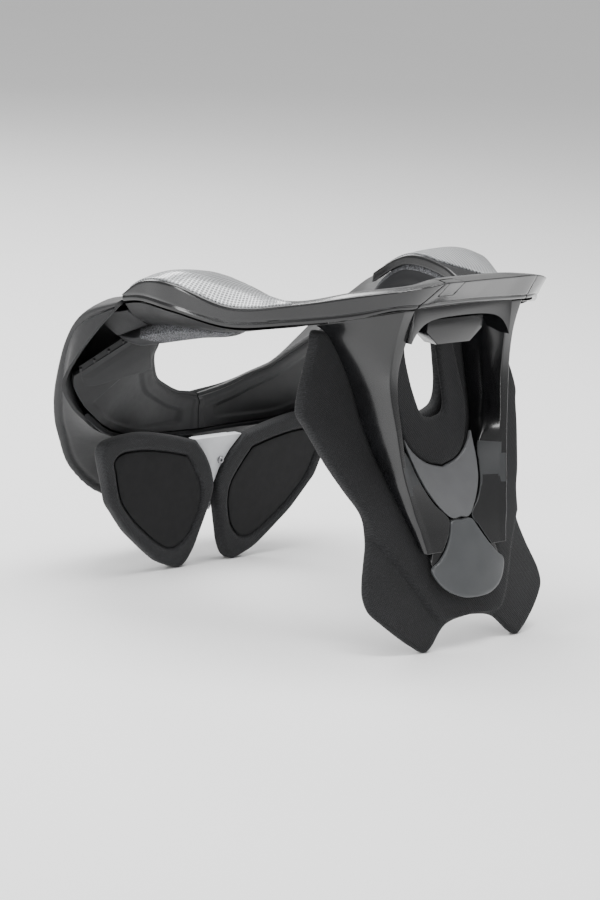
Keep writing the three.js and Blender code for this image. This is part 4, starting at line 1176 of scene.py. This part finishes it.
class BRACE_OT_rear_body(bpy.types.Operator):
    """Rear panel, the inner collar halves and the tube edge below them"""

    bl_idname = "brace.rear_body"
    bl_label = "Rear body"

    def execute(self, context):
        s = context.scene.brace_sizes
        sections = [rear_section(row) for row in both_sides(rows_between(REAR, REAR_CENTRE, 0))]
        shell = bevelled(loft("rear_shell_look", sections, "satin"), 0.5 * MM, 55)
        settle(shell, "frame", "rear_shell", smooth=40)
        points, faces = collar_mesh()
        collar = new_object("collar_left_look", new_mesh("collar", points, faces), "satin")
        centre = Vector((0, 130 * MM, 120 * MM))
        face = collar.data.polygons[0]
        inward = (centre - face.center).dot(face.normal) > 0
        wall = collar.modifiers.new("wall", "SOLIDIFY")
        wall.thickness = s.collar_wall * 0.8
        wall.offset = -1 if inward else 1
        baked(collar)
        window = loft("window", window_sections(), "satin")
        cut(collar, window)
        bpy.data.objects.remove(window)
        side_pair(bevelled(collar, 0.35 * MM, 55), "collar", ("frame", "frame"))
        self.lip(s)
        return {"FINISHED"}

    def lip(self, s):
        radius = 1.7 * MM
        sides = 16
        sections = []
        for row in both_sides(rows_between(REAR, REAR_CENTRE, LIP_END)):
            way = outwards(row, 1)
            low = point(row, "low") + outwards(row, s.collar_wall / 2)
            low.z -= radius + CLEARANCE + 0.3 * MM
            ring = []
            for i in range(sides):
                angle = 2 * math.pi * (i + 0.5) / sides
                step = way * (radius * math.cos(angle))
                ring.append(low + step + Vector((0, 0, radius * math.sin(angle))))
            sections.append(ring)
        lip = bevelled(loft("rear_lip_look", sections, "smooth"), 0.4 * MM, 60)
        settle(lip, "frame", "rear_lip", smooth=50)


def bar_tree():
    """Node tree that lays a bar of a given section along every line of a mesh."""
    tree = bpy.data.node_groups.new("bars", "GeometryNodeTree")
    face = tree.interface
    face.new_socket("Geometry", in_out="INPUT", socket_type="NodeSocketGeometry")
    sockets = {}
    for name, kind in (("Bar width", "Float"), ("Bar depth", "Float"), ("Finish", "Material")):
        socket = face.new_socket(name, in_out="INPUT", socket_type="NodeSocket" + kind)
        sockets[name] = socket.identifier
    face.new_socket("Geometry", in_out="OUTPUT", socket_type="NodeSocketGeometry")
    start = tree.nodes.new("NodeGroupInput")
    lines = tree.nodes.new("GeometryNodeMeshToCurve")
    section = tree.nodes.new("GeometryNodeCurvePrimitiveQuadrilateral")
    skin = tree.nodes.new("GeometryNodeCurveToMesh")
    real = tree.nodes.new("GeometryNodeRealizeInstances")
    shade_node = tree.nodes.new("GeometryNodeSetMaterial")
    end = tree.nodes.new("NodeGroupOutput")
    skin.inputs["Fill Caps"].default_value = True
    link = tree.links.new
    link(start.outputs["Geometry"], lines.inputs[0])
    link(start.outputs["Bar width"], section.inputs["Width"])
    link(start.outputs["Bar depth"], section.inputs["Height"])
    link(lines.outputs[0], skin.inputs["Curve"])
    link(section.outputs[0], skin.inputs["Profile Curve"])
    link(skin.outputs[0], real.inputs[0])
    link(real.outputs[0], shade_node.inputs["Geometry"])
    link(start.outputs["Finish"], shade_node.inputs["Material"])
    link(shade_node.outputs[0], end.inputs[0])
    return tree, sockets


class BRACE_OT_joint_blocks(bpy.types.Operator):
    """Blocks at the side joints and the ribs behind the collar's windows"""

    bl_idname = "brace.joint_blocks"
    bl_label = "Joint blocks and ribs"

    def execute(self, context):
        sections = []
        for row in all_rows(HINGE_BLOCK, 4):
            loop = [point(row, name) for name in ("top", "keel", "inner", "back")]
            sections.append(softened_loop(loop, [2 * MM] * len(loop), 3))
        block = bevelled(loft("hinge_block_left_look", sections, "satin"), 0.6 * MM, 55)
        side_pair(block, "hinge_block", ("frame", "frame"))
        side_pair(self.ribs(), "rib_block", ("frame", "frame"))
        return {"FINISHED"}

    def ribs(self):
        """Bars along a grid of lines behind the window, made by a node tree."""
        points = []
        edges = []
        over = 0.05
        lines = [[(place, share) for share in np.linspace(RIBS["top"], RIBS["low"], 8)]
                 for place in np.linspace(RIBS["from"], RIBS["to"], 7)]
        lines += [[(place, share)
                   for place in np.linspace(RIBS["from"] - over, RIBS["to"] + over, 12)]
                  for share in RIB_LEVELS]
        for line in lines:
            first = len(points)
            points += [collar_point(place, share, RIBS["depth"]) for place, share in line]
            edges += [(first + i, first + i + 1) for i in range(len(line) - 1)]
        mesh = bpy.data.meshes.new("rib_block_left_look")
        mesh.from_pydata([tuple(p) for p in points], edges, [])
        block = new_object("rib_block_left_look", mesh, "satin")
        tree, sockets = bar_tree()
        bars = block.modifiers.new("bars", "NODES")
        bars.node_group = tree
        bars[sockets["Bar width"]] = 1.3 * MM
        bars[sockets["Bar depth"]] = 3 * MM
        bars[sockets["Finish"]] = finishes()["satin"]
        return baked(block)


# Strut and plates


def leg_section(row):
    s = bpy.context.scene.brace_sizes
    z = row["z"] * s.top_height

    def place(name):
        x = row[name + "X"] * s.chest_half_width
        return Vector((x, row[name + "Y"] * s.chest_depth, z))

    rear_x = row["rearX"] * s.chest_half_width
    rear_z = row["rearZ"] * s.top_height
    seat = 1.3 * MM
    rear = Vector((rear_x, float(face_depth(PAD_FACE, rear_x, rear_z)) - seat, rear_z))
    out = place("out")
    ridge = place("ridge")
    wall_x = row["wallX"] * s.chest_half_width
    wall_y = min(
        float(face_depth(PAD_FACE, wall_x, z)) - seat, ridge.y + row["depth"] * s.chest_depth
    )
    flank = rear.lerp(out, 0.5)
    flank.x += 1.5 * MM
    chain = [rear, flank, out, place("in"), ridge, Vector((wall_x, wall_y, z))]
    inner = wall_inside(chain, s.strut_wall, X_AXIS, Y_AXIS)
    radii = [9 * MM, 0.9 * MM, 0.9 * MM, 1.5 * MM]
    outer_run = softened(chain, radii)
    inner_run = softened(inner, [max(0.3 * MM, r * 0.6) for r in radii])
    return outer_run + inner_run[::-1]


def prism(name, outline, start, end, finish):
    """Straight block along Y over an outline of x, z places."""
    count = len(outline)
    points = [(x, start, z) for x, z in outline] + [(x, end, z) for x, z in outline]
    faces = [tuple(range(count)), tuple(range(2 * count - 1, count - 1, -1))]
    faces += [(i, i + count, (i + 1) % count + count, (i + 1) % count) for i in range(count)]
    return new_object(name, new_mesh(name, points, faces), finish)


class BRACE_OT_strut(bpy.types.Operator):
    """Two-legged front strut, its bracket, the crescent and the shield"""

    bl_idname = "brace.strut"
    bl_label = "Front strut and plates"

    def execute(self, context):
        s = context.scene.brace_sizes
        leg = loft("leg", [leg_section(r) for r in all_rows(LEG, 8)], "gloss")
        self.side_panel(leg)
        bevelled(leg, 0.4 * MM, 60)
        other = mirrored(leg, "leg_right")
        edge = [(x * s.chest_half_width, z * s.top_height)
                for x, z in curve_run(ARCH_EDGE, 5)]
        top = ARCH["top"] * s.top_height
        outline = [(-x, z) for x, z in reversed(edge[1:])] + edge
        outline += [(edge[-1][0], top), (-edge[-1][0], top)]
        arch = prism(
            "arch", outline, ARCH["front"] * s.chest_depth, ARCH["back"] * s.chest_depth, "gloss"
        )
        bevelled(arch, 0.8 * MM)
        behind = s.plate_wall + CLEARANCE
        mesh = plate_mesh(
            "web", whole_outline(WEB_OUTLINE), face_at(PLATE_FACE, behind),
            face_at(PLATE_FACE, behind + s.strut_wall), 0.5 * MM, 3 * MM,
        )
        web = new_object("web", mesh, "gloss")
        strut = join([leg, other, arch, web], "front_strut_look")
        settle(strut, "frame", "front_strut", smooth=40)
        self.plate(s, "crescent_panel", CRESCENT_OUTLINE, "light", "light_grey")
        self.plate(s, "shield_panel", SHIELD_OUTLINE, "grey", "mid_grey")
        self.bracket(s)
        return {"FINISHED"}

    def side_panel(self, leg):
        """Gives the low inner face of the leg its satin panel."""
        leg.data.materials.append(finishes()["side"])
        top = 0.515 * bpy.context.scene.brace_sizes.top_height
        for face in leg.data.polygons:
            if face.center.z < top and face.normal.x < -0.25 and face.normal.y < 0.15:
                face.material_index = 1

    def plate(self, s, name, places, finish, slot):
        mesh = plate_mesh(
            name, whole_outline(places), face_at(PLATE_FACE), face_at(PLATE_FACE, s.plate_wall),
            0.8 * MM, 1.6 * MM,
        )
        settle(new_object(name + "_look", mesh, finish), "frame", name)

    def bracket(self, s):
        width = s.chest_half_width
        low, top = BRACKET["low"] * s.top_height, BRACKET["top"] * s.top_height
        mid = (low + top) / 2
        small, large = BRACKET["lowHalf"] * width, BRACKET["topHalf"] * width
        outline = [(-small, low), (small, low), (large, mid), (large, top), (-large, top),
                   (-large, mid)]
        start, end = BRACKET["front"] * s.chest_depth, BRACKET["back"] * s.chest_depth
        bracket = bevelled(prism("front_bracket_look", outline, start, end, "gloss"), 1 * MM)
        settle(bracket, "frame", "front_bracket")


# Pads


class BRACE_OT_chest_pad(bpy.types.Operator):
    """Chest pad with its raised zone, and the foam ring between the strut's legs"""

    bl_idname = "brace.chest_pad"
    bl_label = "Chest pad and foam ring"

    def execute(self, context):
        s = context.scene.brace_sizes
        raised = whole_outline(RAISED_OUTLINE)

        def front(p):
            zone = smoothstep(-0.9 * MM, 0.9 * MM, edge_distance(p, raised))
            return face_depth(PAD_FACE, p[:, 0], p[:, 1]) + s.pad_step * (1 - zone)

        mesh = plate_mesh(
            "chest_pad_look", whole_outline(PAD_OUTLINE), front,
            face_at(PAD_FACE, s.pad_thickness), 2.4 * MM, s.pad_grain,
        )
        pad = new_object("chest_pad_look", mesh, "foam")
        settle(pad, "frame", "chest_pad", smooth=60)
        hole = whole_outline(FOAM_HOLE)
        mesh = plate_mesh(
            "pad_ring_look", whole_outline(FOAM_OUTLINE), face_at(FOAM_FACE),
            face_at(FOAM_FACE, s.ring_foam), 2.4 * MM, s.pad_grain, [hole],
        )
        ring = new_object("pad_ring_look", mesh, "foam")
        settle(ring, "frame", "pad_ring", smooth=60)
        return {"FINISHED"}


def leaned(obj):
    s = bpy.context.scene.brace_sizes
    for v in obj.data.vertices:
        v.co.y += s.paddle_place - s.paddle_lean * v.co.z
    return obj


class BRACE_OT_paddles(bpy.types.Operator):
    """Rear stabiliser pads with their smooth inset panels"""

    bl_idname = "brace.paddles"
    bl_label = "Stabiliser paddles"

    def execute(self, context):
        s = context.scene.brace_sizes
        bodies = ("stabiliser_left", "stabiliser_right")
        outline = loop_outline(PADDLE_OUTLINE, s.paddle_width, s.paddle_height)
        inset = loop_outline(INSERT_OUTLINE, s.paddle_width, s.paddle_height)
        pocket = grown(inset, 0.5 * MM)
        chamfer = grown(inset, 2.2 * MM)

        def front(p):
            inside = smoothstep(0, 1.7 * MM, edge_distance(p, chamfer))
            return inside * s.insert_depth * 1.1

        mesh = plate_mesh(
            "paddle_left_look", outline, front, flat_at(s.paddle_thickness), 2.6 * MM,
            s.pad_grain, (), [pocket, chamfer],
        )
        paddle = leaned(new_object("paddle_left_look", mesh, "paddle"))
        side_pair(paddle, "paddle", bodies, smooth=60)
        mesh = plate_mesh(
            "paddle_insert_left_look", inset, flat_at(0.9 * MM), flat_at(2.2 * MM),
            0.5 * MM, 3 * MM,
        )
        insert = leaned(new_object("paddle_insert_left_look", mesh, "smooth"))
        side_pair(insert, "paddle_insert", bodies)
        return {"FINISHED"}


class BRACE_OT_rear_strut(bpy.types.Operator):
    """White bracket between the paddles, with its screw"""

    bl_idname = "brace.rear_strut"
    bl_label = "Rear strut"

    def execute(self, context):
        s = context.scene.brace_sizes
        wedge = [(max(x * s.paddle_width - 1.3 * MM, 0.4 * MM), z * s.paddle_height)
                 for x, z in PADDLE_OUTLINE[:4]]
        outline = wedge + [(-x, z) for x, z in reversed(wedge)]
        behind = s.paddle_thickness + CLEARANCE
        front = leaned(prism("wedge", outline, 4 * MM, behind + MM, "white"))
        bevelled(front, 1.1 * MM, 30)
        half = 16 * MM
        low_half = half * 0.4
        high, low = 0.9 * s.paddle_height, 0.36 * s.paddle_height
        outline = [(half, high), (low_half, low), (-low_half, low), (-half, high)]
        plate = bevelled(
            leaned(prism("plate", outline, behind, behind + 4 * MM, "white")), 0.8 * MM, 30
        )
        top = 0.82 * s.paddle_height
        tongue_half = half * 0.6
        rear = point(row_at(REAR, REAR_CENTRE), "rim")
        low = top - 9 * MM
        outline = [(-tongue_half, low), (tongue_half, low), (tongue_half, top),
                   (-tongue_half, top)]
        tongue = prism(
            "tongue", outline, s.paddle_place + behind - 4 * MM, rear.y - 18 * MM, "white"
        )
        bevelled(tongue, 0.8 * MM, 30)
        strut = join([front, plate, tongue], "rear_strut_look")
        settle(strut, "frame", "rear_strut", smooth=30)
        self.screw(s)
        return {"FINISHED"}

    def screw(self, s):
        sides = 32
        front = s.paddle_place - s.paddle_lean * SCREW_Z + 4 * MM - CLEARANCE
        points = []
        faces = []
        for radius, depth in SCREW_PROFILE:
            for i in range(sides):
                angle = 2 * math.pi * i / sides
                x = radius * MM * math.cos(angle) + SCREW_X
                z = radius * MM * math.sin(angle) + SCREW_Z
                points.append((x, front + depth * MM, z))
        last = (len(SCREW_PROFILE) - 1) * sides
        for a in range(0, last, sides):
            for i in range(sides):
                j = (i + 1) % sides
                faces.append((a + i, a + j, a + sides + j, a + sides + i))
        faces.append(tuple(range(sides)))
        faces.append(tuple(range(last, last + sides)))
        screw = new_object("rear_screw_look", new_mesh("rear_screw", points, faces), "steel")
        settle(screw, "frame", "rear_screw", smooth=30)


# Stage

LENS = 144
SENSOR = 36
AZIMUTH = math.radians(-48)
ELEVATION = math.radians(11.75)
ROLL = math.radians(4.7)
DISTANCE = 2.185
AIM = Vector((0, 13.57 * MM, 86.55 * MM))
FLOOR_REACH = 12.0
WORLD_STRENGTH = 0.62
LIGHT_AIM = Vector((0, 0, 0.12))
# Area lights: name, place, size in metres and power in watts.
LIGHTS = (
    ("top", (0.1, 0.1, 1.5), (1.5, 1.1), 40.0),
    ("left", (-1.7, -0.1, 0.6), (0.35, 1.2), 20.0),
    ("front", (-0.3, -2.2, 1.3), (1.2, 0.6), 8.0),
    ("rear", (0.4, 1.6, 1.2), (1.6, 0.5), 24.0),
)


def aim_light(name, place, size, power):
    data = bpy.data.lights.new(name, "AREA")
    data.shape = "RECTANGLE"
    data.size, data.size_y = size
    data.energy = power
    lamp = bpy.data.objects.new(name, data)
    lamp.location = place
    lamp.rotation_euler = (LIGHT_AIM - Vector(place)).to_track_quat("-Z", "Y").to_euler()
    bpy.context.scene.collection.objects.link(lamp)


class BRACE_OT_stage(bpy.types.Operator):
    """Pale floor, soft studio light and the camera"""

    bl_idname = "brace.stage"
    bl_label = "Stage"

    def execute(self, context):
        scene = context.scene
        back = Vector((
            math.sin(AZIMUTH) * math.cos(ELEVATION),
            -math.cos(AZIMUTH) * math.cos(ELEVATION),
            math.sin(ELEVATION),
        ))
        right = Vector((math.cos(AZIMUTH), math.sin(AZIMUTH), 0))
        up = back.cross(right)
        across = right * math.cos(ROLL) + up * math.sin(ROLL)
        above = up * math.cos(ROLL) - right * math.sin(ROLL)
        data = bpy.data.cameras.new("camera")
        data.lens = LENS
        data.sensor_width = SENSOR
        data.sensor_fit = "AUTO"
        data.clip_end = 50
        camera = bpy.data.objects.new("camera", data)
        turn = Matrix((across, above, back)).transposed().to_4x4()
        camera.matrix_world = Matrix.Translation(AIM + back * DISTANCE) @ turn
        scene.collection.objects.link(camera)
        scene.camera = camera
        r = FLOOR_REACH
        corners = [(-r, -r, 0), (r, -r, 0), (r, r, 0), (-r, r, 0)]
        mesh = bpy.data.meshes.new("floor")
        mesh.from_pydata(corners, [], [(0, 1, 2, 3)])
        floor = bpy.data.objects.new("floor", mesh)
        scene.collection.objects.link(floor)
        mesh.materials.append(self.floor_finish())
        for light in LIGHTS:
            aim_light(*light)
        world = bpy.data.worlds.new("studio")
        scene.world = world
        world.use_nodes = True
        background = world.node_tree.nodes["Background"]
        background.inputs["Color"].default_value = (1, 1, 1, 1)
        background.inputs["Strength"].default_value = WORLD_STRENGTH
        return {"FINISHED"}

    def floor_finish(self):
        f = Finish("pale_floor", 0.7)
        f.colour(f.blend(f.noise(3, 2), (0.93, 0.93, 0.93), (0.95, 0.95, 0.95)))
        return f.material


OPERATORS = (
    BRACE_OT_bridge,
    BRACE_OT_decks,
    BRACE_OT_arms,
    BRACE_OT_rear_body,
    BRACE_OT_joint_blocks,
    BRACE_OT_strut,
    BRACE_OT_chest_pad,
    BRACE_OT_paddles,
    BRACE_OT_rear_strut,
    BRACE_OT_stage,
)


class BRACE_PT_panel(bpy.types.Panel):
    """Lists the pieces of the brace"""

    bl_idname = "BRACE_PT_panel"
    bl_label = "Neck brace"
    bl_space_type = "VIEW_3D"
    bl_region_type = "UI"
    bl_category = "Brace"

    def draw(self, context):
        for operator in OPERATORS:
            self.layout.operator(operator.bl_idname)
        for group in ("brace_sizes", "brace_colours"):
            values = getattr(context.scene, group)
            for name in values.__annotations__:
                self.layout.prop(values, name)


CLASSES = (BraceSizes, BraceColours, *OPERATORS, BRACE_PT_panel)


def register():
    for item in CLASSES:
        bpy.utils.register_class(item)
    bpy.types.Scene.brace_sizes = PointerProperty(type=BraceSizes)
    bpy.types.Scene.brace_colours = PointerProperty(type=BraceColours)


def unregister():
    del bpy.types.Scene.brace_colours
    del bpy.types.Scene.brace_sizes
    for item in reversed(CLASSES):
        bpy.utils.unregister_class(item)


def main():
    register()
    for operator in OPERATORS:
        group, name = operator.bl_idname.split(".")
        getattr(getattr(bpy.ops, group), name)()


if __name__ == "__main__":
    main()
